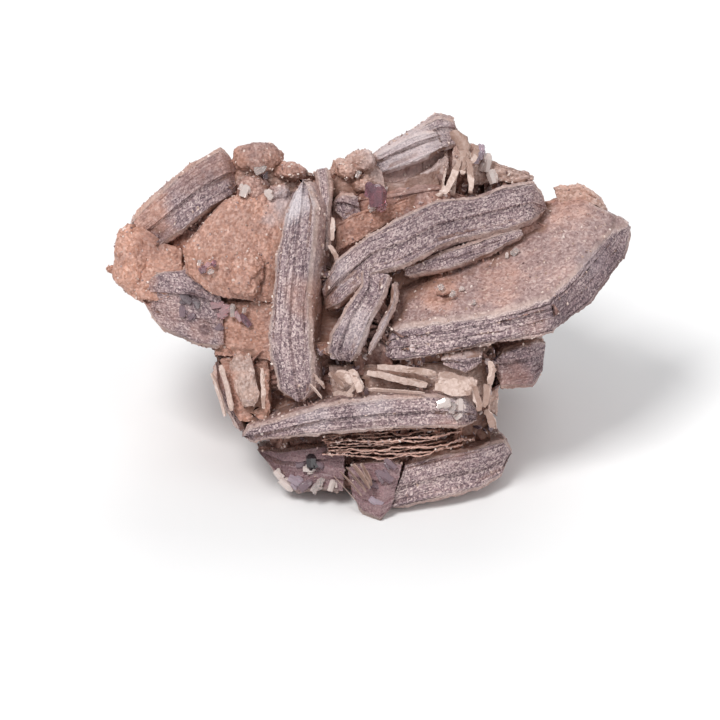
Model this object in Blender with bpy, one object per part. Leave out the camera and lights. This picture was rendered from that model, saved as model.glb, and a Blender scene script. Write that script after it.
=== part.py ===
"""Lepidolite hand specimen: a cluster of thick mica books grown through each other, on a flat broken base.

The crystals are grown together, so the whole specimen is one solid. Its front is drawn on a 72 mm sheet
that leans back by SHEET_LEAN: across and down are in mm from the sheet's top left corner, and a wall's
stand is how far it comes towards the viewer. The back is made of six-sided plates.
Metres, +Z up, the origin at the middle of the base.
"""

import math
from collections import namedtuple

import bmesh
import bpy
from mathutils import Vector

MM = 0.001

# The sheet that the front is drawn on, and where it stands over the base
SHEET_LEAN = math.radians(30)
SHEET_MIDDLE = 37.07
SHEET_FOOT = 52.6
BASE_MIDDLE_Y = 20.25

# Ledges in a striated wall: their depth, at most what share of the book's own depth, and for each
# ledge where along the thickness it starts and how many depths it lies back
LEDGE_DEPTH = 0.45
LEDGE_MOST = 0.3
LEDGES = {
    "none": (),
    "two": ((0.0, 0.0), (0.38, 1.0), (0.72, 0.3)),
    "three": ((0.0, 0.4), (0.22, 0.0), (0.5, 1.0), (0.78, 0.2)),
    "steps": ((0.0, 0.0), (0.3, 0.5), (0.55, 0.9), (0.8, 1.4)),
}

# A station is one cross-section of a book: the two edges of its wall, then stand and depth
Book = namedtuple("Book", "name ledges back stations")
Plate = namedtuple("Plate", "name middle along normal length width thickness")
Lump = namedtuple("Lump", "name across down stand half_sizes")

FRONT_BOOKS = (
    Book("core", "none", (0.0, 0.06, 1.0), (
        (14.2, 24.6, 14.6, 29.0, -6.5, 7.0),
        (20.0, 19.4, 21.0, 33.5, -4.2, 15.0),
        (28.0, 18.8, 27.2, 44.3, -3.2, 18.5),
        (36.0, 18.4, 35.0, 47.6, -2.8, 19.5),
        (44.0, 17.0, 44.0, 45.6, -3.4, 19.0),
        (52.0, 20.0, 51.0, 38.0, -5.2, 15.5),
        (58.0, 21.8, 57.4, 29.0, -7.2, 9.0),
    )),
    Book("left_great_book", "three", (-0.05, 0.0, 1.0), (
        (12.5, 21.5, 14.8, 25.8, -4.2, 10.0),
        (15.0, 19.2, 17.4, 24.3, -2.6, 13.0),
        (19.0, 15.7, 20.6, 21.9, -2.0, 14.0),
        (21.9, 14.3, 23.3, 20.2, -3.0, 13.0),
        (23.4, 15.2, 24.2, 18.8, -4.8, 10.0),
    )),
    Book("left_end", "none", (0.0, 0.0, 1.0), (
        (10.9, 24.0, 11.2, 28.2, -6.0, 7.0),
        (11.6, 22.5, 12.6, 29.8, -4.6, 10.0),
        (13.6, 21.9, 13.9, 30.7, -3.6, 12.0),
        (16.4, 23.4, 16.2, 30.6, -2.9, 12.0),
        (18.8, 24.0, 18.8, 29.0, -2.2, 12.0),
    )),
    Book("left_low_book", "two", (0.0, 0.05, 1.0), (
        (13.7, 28.2, 13.9, 30.7, -4.4, 10.0),
        (15.5, 26.6, 16.1, 33.4, -3.0, 12.0),
        (19.0, 26.0, 19.8, 35.2, -2.0, 13.0),
        (22.4, 27.6, 22.6, 35.4, -1.9, 13.0),
    )),
    Book("peach_panel", "none", (0.0, 0.0, 1.0), (
        (22.6, 19.0, 29.6, 18.6, -2.2, 12.0),
        (19.6, 22.0, 30.2, 22.2, -1.0, 13.0),
        (17.6, 24.8, 30.0, 26.5, -0.4, 13.0),
        (18.0, 27.2, 29.8, 29.4, -0.5, 13.0),
        (20.6, 29.8, 28.0, 31.0, -1.2, 12.0),
    )),
    Book("waist", "none", (0.0, 0.0, 1.0), (
        (20.8, 30.0, 20.9, 36.2, -2.9, 12.0),
        (23.5, 29.4, 23.5, 36.0, -1.9, 12.0),
        (28.4, 29.4, 28.4, 37.0, -1.1, 12.0),
    )),
    Book("column_fill", "none", (0.0, 0.0, 1.0), (
        (21.5, 35.4, 22.4, 40.6, -3.0, 8.0),
        (23.6, 34.8, 24.0, 42.6, -2.2, 9.0),
        (27.6, 34.4, 27.6, 42.8, -1.6, 9.0),
    )),
    Book("cream_column", "none", (0.0, 0.0, 1.0), (
        (22.9, 34.6, 25.3, 34.8, -1.3, 8.0),
        (22.4, 36.6, 26.2, 37.2, -0.4, 9.0),
        (23.0, 39.2, 26.5, 39.2, -0.4, 9.0),
        (23.6, 41.3, 26.2, 41.5, -1.2, 8.0),
    )),
    Book("outer_plate", "two", (0.1, 0.0, 1.0), (
        (20.7, 36.3, 22.4, 35.8, -3.6, 9.0),
        (20.9, 38.4, 23.0, 38.4, -3.0, 10.0),
        (21.9, 40.8, 24.0, 41.0, -2.8, 10.0),
        (23.2, 43.3, 25.3, 43.2, -3.0, 9.0),
    )),
    Book("upright_book", "three", (0.28, 0.02, 0.96), (
        (28.8, 40.5, 31.0, 40.4, -0.2, 7.0),
        (27.1, 39.0, 31.8, 38.2, 1.0, 10.0),
        (26.1, 33.7, 31.5, 34.1, 2.0, 12.0),
        (26.5, 30.0, 31.3, 30.0, 2.2, 12.0),
        (27.0, 25.5, 31.8, 24.8, 2.0, 12.0),
        (27.9, 21.2, 32.0, 20.5, 1.0, 11.0),
        (29.0, 18.8, 31.3, 18.4, -0.4, 9.0),
        (29.5, 17.8, 30.8, 17.6, -1.2, 8.0),
    )),
    Book("rear_book_end", "none", (0.0, 0.0, 1.0), (
        (31.0, 16.7, 33.3, 16.4, -3.2, 8.0),
        (31.2, 18.6, 33.6, 18.6, -2.6, 9.0),
        (31.8, 21.5, 33.4, 21.5, -1.8, 9.0),
        (31.8, 25.5, 33.3, 24.9, -1.4, 9.0),
    )),
    Book("crossing_book", "three", (0.05, -0.1, 1.0), (
        (31.8, 28.3, 32.4, 31.8, -1.0, 8.0),
        (33.6, 25.3, 34.0, 31.0, 0.6, 11.0),
        (36.8, 22.9, 37.2, 27.9, 0.8, 13.0),
        (40.5, 20.8, 40.8, 27.0, 0.2, 13.0),
        (43.7, 19.3, 43.9, 25.3, -1.1, 12.0),
        (47.5, 18.9, 47.5, 24.0, -3.0, 12.0),
        (50.3, 17.9, 50.5, 23.5, -4.3, 12.0),
        (53.5, 17.5, 53.2, 22.6, -5.6, 10.0),
        (55.2, 19.6, 54.8, 21.4, -8.0, 6.0),
    )),
    Book("under_band", "none", (0.05, 0.0, 1.0), (
        (40.0, 26.2, 40.2, 28.4, -1.6, 10.0),
        (44.8, 24.4, 44.8, 27.4, -2.3, 10.0),
        (49.2, 23.0, 49.2, 25.8, -3.8, 10.0),
        (52.5, 22.0, 53.0, 24.1, -5.4, 9.0),
    )),
    Book("branch_book", "two", (0.1, 0.0, 1.0), (
        (35.5, 26.5, 39.5, 27.4, 0.6, 8.0),
        (35.6, 28.2, 38.8, 29.8, 1.6, 8.0),
        (34.0, 30.6, 37.5, 32.2, 2.2, 8.0),
        (32.5, 33.4, 37.0, 33.9, 2.2, 8.0),
        (32.2, 35.2, 36.3, 35.4, 1.6, 7.0),
        (33.2, 36.1, 35.8, 36.5, 0.8, 6.0),
    )),
    Book("thin_blade", "none", (0.0, 0.0, 1.0), (
        (38.6, 28.0, 40.4, 28.0, 0.1, 6.0),
        (38.5, 30.2, 40.3, 30.0, 1.2, 6.0),
        (37.1, 33.6, 38.9, 33.0, 1.6, 6.0),
        (36.3, 35.7, 37.5, 35.4, 1.0, 5.0),
    )),
    Book("great_slab", "steps", (0.08, 0.62, 0.78), (
        (37.7, 34.9, 37.8, 36.4, -0.6, 8.0),
        (39.2, 32.7, 39.2, 37.4, 1.0, 13.0),
        (43.2, 32.0, 44.4, 36.9, 2.2, 16.0),
        (49.7, 31.3, 49.7, 35.6, 2.8, 18.0),
        (54.8, 29.6, 55.2, 34.6, 2.2, 18.0),
        (57.4, 26.8, 59.2, 31.6, -0.8, 13.5),
        (60.5, 23.4, 62.8, 27.1, -5.6, 5.5),
        (62.9, 21.7, 63.9, 23.6, -9.0, 1.2),
    )),
    Book("slab_ledge", "none", (0.05, 0.3, 0.95), (
        (55.0, 18.4, 56.3, 21.6, -9.9, 2.6),
        (58.2, 18.0, 58.8, 21.6, -9.9, 3.0),
        (60.3, 19.2, 60.6, 22.4, -9.5, 2.6),
        (61.6, 20.3, 61.8, 22.6, -9.1, 1.6),
    )),
    Book("slab_foot", "two", (0.08, 0.62, 0.78), (
        (43.4, 35.4, 44.2, 37.4, 1.3, 6.0),
        (46.2, 35.4, 46.6, 38.3, 1.7, 7.0),
        (48.6, 35.0, 48.3, 37.3, 1.3, 6.0),
    )),
    Book("tucked_book", "two", (0.0, 0.1, 1.0), (
        (49.2, 35.2, 49.5, 38.2, -0.7, 10.0),
        (50.2, 34.6, 50.0, 39.4, 0.2, 11.0),
        (53.2, 33.6, 53.3, 39.2, 0.2, 11.0),
        (54.8, 33.6, 54.5, 37.8, -1.4, 9.0),
    )),
    Book("front_book", "three", (0.0, 0.22, 0.97), (
        (23.8, 43.0, 24.1, 44.6, -1.8, 8.0),
        (25.1, 42.2, 25.7, 45.0, -0.2, 10.0),
        (32.0, 40.1, 32.0, 44.1, 1.4, 12.0),
        (38.0, 39.5, 38.0, 43.5, 2.0, 12.0),
        (43.3, 39.0, 43.3, 43.4, 1.6, 12.0),
        (46.5, 39.3, 46.3, 43.4, 0.6, 11.0),
        (47.9, 40.4, 48.0, 43.0, -1.2, 8.0),
    )),
    Book("sheet_stack", "steps", (0.0, 0.1, 1.0), (
        (31.8, 43.6, 32.1, 45.6, -0.4, 9.0),
        (38.0, 43.0, 38.0, 46.0, 0.4, 10.0),
        (43.0, 42.8, 43.0, 45.6, 0.1, 10.0),
        (47.5, 42.4, 47.6, 44.6, -1.6, 9.0),
    )),
    Book("low_right_book", "three", (-0.08, 0.12, 0.99), (
        (40.4, 45.9, 38.6, 51.8, -0.9, 9.0),
        (44.1, 45.0, 43.8, 50.5, -1.6, 12.0),
        (48.2, 44.1, 47.8, 49.6, -2.8, 13.0),
        (50.6, 43.6, 50.3, 48.2, -4.6, 11.0),
        (51.9, 44.8, 51.2, 46.0, -7.4, 7.0),
    )),
    Book("purple_wedge", "two", (0.0, 0.1, 1.0), (
        (34.4, 46.0, 35.0, 50.3, -1.6, 9.0),
        (37.0, 45.5, 36.2, 52.0, -0.8, 10.0),
        (38.8, 45.5, 37.9, 52.6, 0.1, 10.0),
        (40.6, 45.5, 39.2, 51.5, -0.5, 9.0),
    )),
    Book("low_left_crystals", "two", (0.0, 0.1, 1.0), (
        (25.0, 44.3, 26.2, 46.0, -3.0, 7.0),
        (28.0, 44.6, 28.4, 49.0, -3.2, 9.0),
        (30.0, 44.2, 29.8, 49.9, -2.6, 10.0),
        (32.4, 44.0, 32.0, 49.4, -2.0, 10.0),
        (34.9, 44.3, 34.6, 49.9, -1.5, 10.0),
    )),
    Book("upper_book", "two", (0.05, 0.1, 1.0), (
        (36.3, 15.5, 37.5, 18.0, -6.8, 10.0),
        (38.6, 14.0, 40.1, 17.3, -6.0, 12.0),
        (41.0, 12.8, 43.0, 16.1, -5.9, 13.0),
        (43.7, 12.2, 45.0, 15.0, -6.6, 12.0),
    )),
    Book("upper_book_foot", "none", (0.0, 0.0, 1.0), (
        (37.0, 17.6, 38.6, 21.0, -6.6, 9.0),
        (40.0, 17.0, 41.2, 20.4, -6.6, 11.0),
        (43.0, 15.8, 43.6, 19.2, -6.6, 11.0),
        (45.3, 13.7, 45.8, 17.6, -7.4, 10.0),
    )),
    Book("upper_peak", "two", (0.0, 0.05, 1.0), (
        (38.8, 13.9, 40.4, 16.0, -7.4, 9.0),
        (41.6, 12.1, 42.8, 15.2, -6.9, 10.0),
        (43.7, 10.8, 44.8, 15.2, -7.0, 10.0),
        (45.4, 11.1, 45.8, 14.8, -7.8, 9.0),
        (46.3, 13.1, 46.4, 14.5, -9.0, 7.0),
    )),
    Book("striped_book", "two", (0.0, 0.0, 1.0), (
        (32.6, 19.4, 33.0, 21.4, -3.5, 8.0),
        (34.2, 18.6, 34.5, 22.6, -2.8, 9.0),
        (36.0, 19.0, 36.8, 23.6, -3.2, 8.0),
    )),
    Book("brown_mass", "none", (0.05, 0.0, 1.0), (
        (44.6, 13.4, 44.6, 19.4, -7.6, 10.0),
        (47.4, 13.4, 47.4, 19.2, -7.0, 11.0),
        (49.3, 15.4, 49.6, 18.6, -7.8, 10.0),
        (54.0, 16.7, 54.0, 18.4, -8.4, 8.0),
    )),
    Book("tan_mass", "none", (0.0, 0.0, 1.0), (
        (22.6, 15.2, 22.6, 19.8, -4.4, 9.0),
        (24.6, 14.0, 24.6, 20.4, -3.5, 10.0),
        (27.0, 14.6, 27.2, 20.8, -3.4, 10.0),
        (29.4, 16.1, 29.4, 20.8, -3.8, 9.0),
        (31.8, 16.6, 31.9, 20.2, -4.6, 8.0),
    )),
    Book("crust_mass", "none", (0.0, 0.0, 1.0), (
        (32.0, 16.8, 32.3, 20.0, -4.8, 8.0),
        (34.2, 15.3, 34.4, 20.4, -4.8, 9.0),
        (36.6, 14.9, 37.0, 21.2, -5.4, 9.0),
        (38.6, 16.2, 39.4, 21.4, -6.4, 9.0),
    )),
    Book("pink_fill", "none", (0.0, 0.0, 1.0), (
        (33.0, 22.2, 33.0, 26.4, -2.6, 6.0),
        (35.6, 20.6, 35.8, 24.6, -2.6, 7.0),
        (39.4, 19.4, 39.4, 22.6, -3.6, 7.0),
        (43.4, 17.8, 43.4, 21.0, -4.6, 7.0),
    )),
    Book("crevice_fill", "none", (0.0, 0.0, 1.0), (
        (32.4, 36.0, 32.6, 40.6, -1.2, 6.0),
        (37.0, 35.8, 37.0, 40.4, -0.5, 7.0),
        (43.0, 35.6, 43.0, 40.0, -0.2, 7.0),
        (48.4, 35.0, 48.4, 41.2, -0.8, 7.0),
        (50.6, 34.8, 50.2, 42.2, -2.2, 7.0),
    )),
)

# Cream albite blades that stand in the gaps between books
BLADES = (
    Book("upper_blade_left", "none", (0.0, 0.0, 1.0), (
        (44.3, 16.2, 45.3, 16.3, -5.6, 3.0), (43.5, 19.8, 44.5, 19.9, -4.4, 4.0),
    )),
    Book("upper_blade_middle", "none", (0.0, 0.0, 1.0), (
        (45.6, 16.0, 46.5, 16.1, -5.4, 3.0), (44.8, 19.6, 45.7, 19.7, -4.3, 4.0),
    )),
    Book("upper_blade_right", "none", (0.0, 0.0, 1.0), (
        (46.5, 16.0, 47.4, 15.9, -5.6, 3.0), (46.6, 19.5, 47.6, 19.4, -4.5, 4.0),
    )),
    Book("crevice_blade_long", "none", (0.0, 0.1, 1.0), (
        (36.3, 36.8, 36.5, 37.7, 0.6, 5.0), (39.4, 37.2, 39.2, 38.2, 0.8, 5.0),
        (43.1, 38.0, 42.6, 38.9, 0.4, 5.0),
    )),
    Book("crevice_blade_short", "none", (0.0, 0.0, 1.0), (
        (34.7, 37.2, 35.9, 36.6, 0.2, 4.0), (36.0, 39.6, 36.9, 38.8, 1.0, 4.0),
    )),
    Book("crevice_column", "none", (0.0, 0.0, 1.0), (
        (48.6, 35.6, 49.9, 35.6, -0.2, 5.0), (48.3, 39.0, 49.8, 39.0, 0.3, 6.0),
        (48.2, 42.9, 49.6, 42.8, -1.4, 6.0),
    )),
)

# Rounded lumps of fine mica and crust: where they sit on the sheet, and their half sizes
LUMPS = (
    Lump("left_end_lump", 13.0, 25.7, -5.2, (2.5, 3.9, 2.2)),
    Lump("left_end_spur", 11.1, 26.9, -6.4, (1.0, 0.7, 1.6)),
    Lump("peach_bulge", 24.7, 27.4, -0.9, (2.1, 2.9, 1.2)),
    Lump("tan_lump_left", 25.8, 15.7, -4.7, (3.0, 2.1, 2.7)),
    Lump("tan_lump_right", 28.9, 17.1, -4.6, (2.4, 1.5, 2.4)),
    Lump("grey_lump", 25.3, 18.7, -3.4, (2.0, 1.7, 1.7)),
    Lump("small_brown_lump", 27.8, 19.2, -3.2, (1.4, 1.3, 1.6)),
    Lump("crust_lump_top", 35.9, 16.0, -6.4, (2.0, 1.6, 2.2)),
    Lump("crust_lump_left", 34.3, 16.8, -5.8, (1.8, 1.6, 1.9)),
    Lump("crust_lump_low", 36.2, 18.2, -5.9, (1.8, 1.5, 1.8)),
    Lump("pink_crystal", 37.7, 19.6, -4.2, (1.3, 1.3, 2.4)),
    Lump("slab_top_lump", 44.6, 29.2, -1.2, (1.5, 0.9, 1.6)),
    Lump("back_lump_left", 28.0, 22.5, -22.6, (2.6, 2.0, 2.4)),
    Lump("back_lump_right", 47.0, 24.5, -22.2, (2.2, 1.8, 2.4)),
    Lump("back_lump_low", 36.0, 33.5, -22.6, (2.4, 1.6, 2.2)),
)

# Books on the back and the sides: their middles are in mm from the middle of the sheet's foot
BACK_PLATES = (
    Plate("back_great_book", (-9.0, 32.6, 13.5), (0.9, 0.15, 0.42), (-0.35, 0.3, 0.88), 21.0, 11.0, 6.0),
    Plate("back_right_book", (9.5, 32.6, 11.0), (0.8, -0.2, -0.55), (0.5, 0.35, 0.75), 18.0, 11.0, 5.5),
    Plate("back_upright_book", (1.0, 35.6, 10.5), (0.1, 0.3, 0.95), (0.95, 0.15, -0.1), 17.0, 8.0, 5.0),
    Plate("back_low_book", (-5.0, 28.6, 3.5), (0.97, 0.2, -0.05), (0.0, -0.2, 0.97), 18.0, 12.0, 5.0),
    Plate("back_low_right_book", (6.0, 28.6, 3.6), (0.9, -0.4, 0.1), (0.1, -0.15, 0.97), 14.0, 11.0, 4.6),
    Plate("back_cross_book", (4.0, 30.6, 19.0), (0.85, 0.2, 0.15), (-0.2, 0.75, 0.6), 16.0, 9.0, 4.5),
    Plate("back_ridge_book", (-6.5, 28.6, 21.0), (0.9, -0.2, 0.1), (0.1, 0.6, 0.8), 13.0, 8.0, 4.0),
    Plate("back_small_book", (12.0, 29.1, 18.0), (0.7, 0.3, -0.5), (0.4, 0.5, 0.75), 12.0, 8.0, 3.6),
    Plate("back_corner_book", (-11.9, 28.7, 8.7), (0.5, 0.5, 0.75), (-0.8, 0.6, 0.1), 13.0, 7.0, 4.0),
    Plate("left_flank_book", (-11.6, 25.6, 13.6), (0.3, 0.85, 0.3), (-0.6, 0.3, 0.7), 14.0, 8.0, 4.5),
    Plate("right_flank_book", (13.5, 25.6, 11.0), (-0.2, 0.9, 0.25), (0.7, 0.1, 0.65), 14.0, 8.0, 4.5),
    Plate("back_middle_book", (0.2, 34.15, 17.5), (0.93, -0.1, 0.35), (-0.33, 0.25, 0.9), 22.0, 11.0, 4.4),
    Plate("back_slant_book", (-4.3, 33.6, 11.8), (0.75, 0.1, -0.65), (0.6, 0.2, 0.75), 17.0, 10.0, 4.0),
    Plate("back_side_book", (9.3, 33.1, 15.8), (0.7, -0.35, 0.6), (-0.5, 0.2, 0.8), 14.0, 10.0, 3.8),
    Plate("back_thin_book", (5.3, 34.5, 8.3), (0.2, 0.15, 0.95), (0.95, -0.2, 0.1), 12.0, 8.0, 2.6),
    Plate("back_left_book", (-10.3, 33.1, 16.2), (0.5, -0.2, 0.8), (-0.8, 0.3, 0.4), 13.0, 9.0, 3.6),
    Plate("back_foot_book", (-1.2, 31.3, 2.9), (0.95, 0.3, 0.05), (-0.05, -0.3, 0.95), 16.0, 9.0, 3.4),
    Plate("left_foot_book", (-10.2, 22.2, 5.3), (0.25, 0.9, -0.2), (0.5, 0.1, 0.85), 14.0, 9.0, 3.8),
    Plate("right_foot_book", (9.2, 21.3, 5.3), (-0.15, 0.95, -0.1), (-0.45, 0.05, 0.9), 14.0, 8.0, 3.8),
)

# Along a plate's length: where each cross-section lies, and how wide it is there
PLATE_WAIST = 0.12
PLATE_STATIONS = ((-0.5, 0.42), (-0.3, 0.86), (0.0, 1.0), (0.3, 0.86), (0.5, 0.42))

STONE_COLOUR = (0.34, 0.25, 0.27, 1.0)
STONE_ROUGHNESS = 0.6
LUMP_ROUNDNESS = 2
FLOOR_CUT = 60.0


def from_sheet(across, down, stand):
    """The point that lies on the leaning sheet, brought forward by stand."""
    right = across - SHEET_MIDDLE
    rise = SHEET_FOOT - down
    lean_cos, lean_sin = math.cos(SHEET_LEAN), math.sin(SHEET_LEAN)
    depth_y = rise * lean_sin - stand * lean_cos - BASE_MIDDLE_Y
    height = rise * lean_cos + stand * lean_sin
    return Vector((right, depth_y, height)) * MM


def ring_of(station, ledges, back):
    """One closed ring of points round a book: up its stepped wall, then down its back."""
    ax, ay, bx, by, stand, depth = station
    steps = LEDGES[ledges]
    away = Vector(back).normalized()

    def point(share, inward):
        x = ax + (bx - ax) * share + away.x * inward
        y = ay + (by - ay) * share - away.y * inward
        return from_sheet(x, y, stand - away.z * inward)

    ring = []
    if not steps:
        ring += [point(0.0, 0.0), point(1.0, 0.0)]
    for number, (share, deep) in enumerate(steps):
        end = steps[number + 1][0] if number + 1 < len(steps) else 1.0
        inward = min(deep * LEDGE_DEPTH, depth * LEDGE_MOST)
        ring += [point(share, inward), point(end, inward)]
    return ring + [point(1.0, depth), point(0.0, depth)]


def solid_from_rings(name, rings):
    """A closed body through rings of equal length, with a face over each end."""
    mesh = bmesh.new()
    rows = [[mesh.verts.new(p) for p in ring] for ring in rings]
    count = len(rows[0])
    for near, far in zip(rows, rows[1:]):
        for i in range(count):
            j = (i + 1) % count
            mesh.faces.new((near[i], near[j], far[j], far[i]))
    mesh.faces.new(rows[0][::-1])
    mesh.faces.new(rows[-1])
    bmesh.ops.triangulate(mesh, faces=mesh.faces)
    bmesh.ops.recalc_face_normals(mesh, faces=mesh.faces)
    return linked_object(name, mesh)


def linked_object(name, mesh):
    data = bpy.data.meshes.new(name)
    mesh.to_mesh(data)
    mesh.free()
    obj = bpy.data.objects.new(name, data)
    bpy.context.scene.collection.objects.link(obj)
    return obj


def make_book(book):
    return solid_from_rings(book.name, [ring_of(s, book.ledges, book.back) for s in book.stations])


def make_plate(plate):
    """A six-sided tabular crystal: it narrows to both ends, and one half is stepped back."""
    along = Vector(plate.along).normalized()
    normal = Vector(plate.normal)
    normal = (normal - along * normal.dot(along)).normalized()
    side = along.cross(normal)
    half = plate.width / 2
    rings = []
    for place, narrow in PLATE_STATIONS:
        centre = Vector(plate.middle) - Vector((0, BASE_MIDDLE_Y, 0)) + along * (place * plate.length)
        reach = half * narrow
        low, waist, high = -plate.thickness / 2, plate.thickness * PLATE_WAIST, plate.thickness / 2
        corners = (
            (-reach, low), (reach, low), (reach, waist), (reach - LEDGE_DEPTH, waist),
            (reach - LEDGE_DEPTH, high), (LEDGE_DEPTH - reach, high), (LEDGE_DEPTH - reach, waist),
            (-reach, waist),
        )
        rings.append([(centre + side * s + normal * n) * MM for s, n in corners])
    return solid_from_rings(plate.name, rings)


def make_lump(lump):
    mesh = bmesh.new()
    bmesh.ops.create_icosphere(mesh, subdivisions=LUMP_ROUNDNESS, radius=1.0)
    wide, tall, deep = lump.half_sizes
    for vert in mesh.verts:
        x, y, z = vert.co
        vert.co = from_sheet(lump.across + x * wide, lump.down - z * tall, lump.stand - y * deep)
    bmesh.ops.recalc_face_normals(mesh, faces=mesh.faces)
    return linked_object(lump.name, mesh)


def floor_block():
    """The block below the base, which cuts the specimen off flat."""
    mesh = bmesh.new()
    bmesh.ops.create_cube(mesh, size=2 * FLOOR_CUT * MM)
    bmesh.ops.translate(mesh, vec=(0, 0, -FLOOR_CUT * MM), verts=mesh.verts)
    return linked_object("floor_cutter", mesh)


def combine(body, other, operation):
    """One Boolean step, kept as the body's mesh, after which the other object is removed.

    Walls of books that share a plane make the exact solver drop pieces, so this is the manifold one.
    """
    modifier = body.modifiers.new(operation, "BOOLEAN")
    modifier.operation = operation
    modifier.solver = "MANIFOLD"
    modifier.object = other
    graph = bpy.context.evaluated_depsgraph_get()
    joined = bpy.data.meshes.new_from_object(body.evaluated_get(graph))
    body.modifiers.clear()
    old = body.data
    body.data = joined
    bpy.data.meshes.remove(old)
    bpy.data.objects.remove(other)


def stone_material():
    material = bpy.data.materials.new("lepidolite")
    material.use_nodes = True
    shader = material.node_tree.nodes["Principled BSDF"]
    shader.inputs["Base Color"].default_value = STONE_COLOUR
    shader.inputs["Roughness"].default_value = STONE_ROUGHNESS
    shader.inputs["Metallic"].default_value = 0.0
    material.diffuse_color = STONE_COLOUR
    return material


def main():
    for obj in list(bpy.data.objects):
        bpy.data.objects.remove(obj)
    parts = [make_book(book) for book in FRONT_BOOKS]
    parts += [make_plate(plate) for plate in BACK_PLATES]
    parts += [make_book(blade) for blade in BLADES]
    parts += [make_lump(lump) for lump in LUMPS]
    cluster = parts[0]
    for part in parts[1:]:
        combine(cluster, part, "UNION")
    combine(cluster, floor_block(), "DIFFERENCE")
    cluster.name = "lepidolite_cluster"
    cluster.data.name = "lepidolite_cluster"
    cluster.data.materials.clear()
    cluster.data.materials.append(stone_material())


main()
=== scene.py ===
"""Looks of the lepidolite specimen: striated mica books, granular crusts, cream blades and clear crystals.

The front is drawn on a 72 mm sheet that leans back by 30 degrees: across and down are in mm from its top
left corner, and stand is how far a point comes towards the viewer. Meshes are worked out in mm and
written in metres.
"""

import itertools
import math
from collections import namedtuple

import bmesh
import bpy
import numpy as np
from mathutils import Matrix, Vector
from mathutils.bvhtree import BVHTree


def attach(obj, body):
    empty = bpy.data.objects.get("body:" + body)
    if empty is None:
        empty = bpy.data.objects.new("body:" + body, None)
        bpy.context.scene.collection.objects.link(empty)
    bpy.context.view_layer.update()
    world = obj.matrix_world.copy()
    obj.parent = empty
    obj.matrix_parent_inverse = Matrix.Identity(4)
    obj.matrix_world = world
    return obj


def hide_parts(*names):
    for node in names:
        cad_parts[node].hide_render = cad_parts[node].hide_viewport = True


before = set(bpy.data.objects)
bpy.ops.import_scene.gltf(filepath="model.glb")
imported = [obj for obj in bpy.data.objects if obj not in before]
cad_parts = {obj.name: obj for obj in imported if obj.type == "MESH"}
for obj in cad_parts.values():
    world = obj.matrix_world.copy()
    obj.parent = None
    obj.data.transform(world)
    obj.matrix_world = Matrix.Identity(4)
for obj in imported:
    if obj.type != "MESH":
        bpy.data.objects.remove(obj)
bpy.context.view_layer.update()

MM = 0.001
NODE = "lepidolite_cluster"

# The leaning sheet
SHEET_LEAN = math.radians(30)
SHEET_SIZE = 72.0
SHEET_MIDDLE = 37.07
SHEET_FOOT = 52.6
BASE_MIDDLE_Y = 20.25
SHEET_RIGHT = np.array((1.0, 0.0, 0.0))
SHEET_UP = np.array((0.0, math.sin(SHEET_LEAN), math.cos(SHEET_LEAN)))
SHEET_OUT = np.array((0.0, -math.cos(SHEET_LEAN), math.sin(SHEET_LEAN)))

# Ledges in a striated wall, the same as in the solid
LEDGE_DEPTH = 0.45
LEDGES = {
    "none": (),
    "two": ((0.0, 0.0), (0.38, 1.0), (0.72, 0.3)),
    "three": ((0.0, 0.4), (0.22, 0.0), (0.5, 1.0), (0.78, 0.2)),
    "steps": ((0.0, 0.0), (0.3, 0.5), (0.55, 0.9), (0.8, 1.4)),
    "waist": ((0.0, 0.0), (0.62, 1.0)),
}

# skin: "layers" is a striated wall, "crust" is granular all over, "glass" is smooth and half clear
Book = namedtuple("Book", "name skin ledges back stations")
Plate = namedtuple("Plate", "name middle along normal length width thickness")
Lump = namedtuple("Lump", "name across down stand half_sizes")

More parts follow.
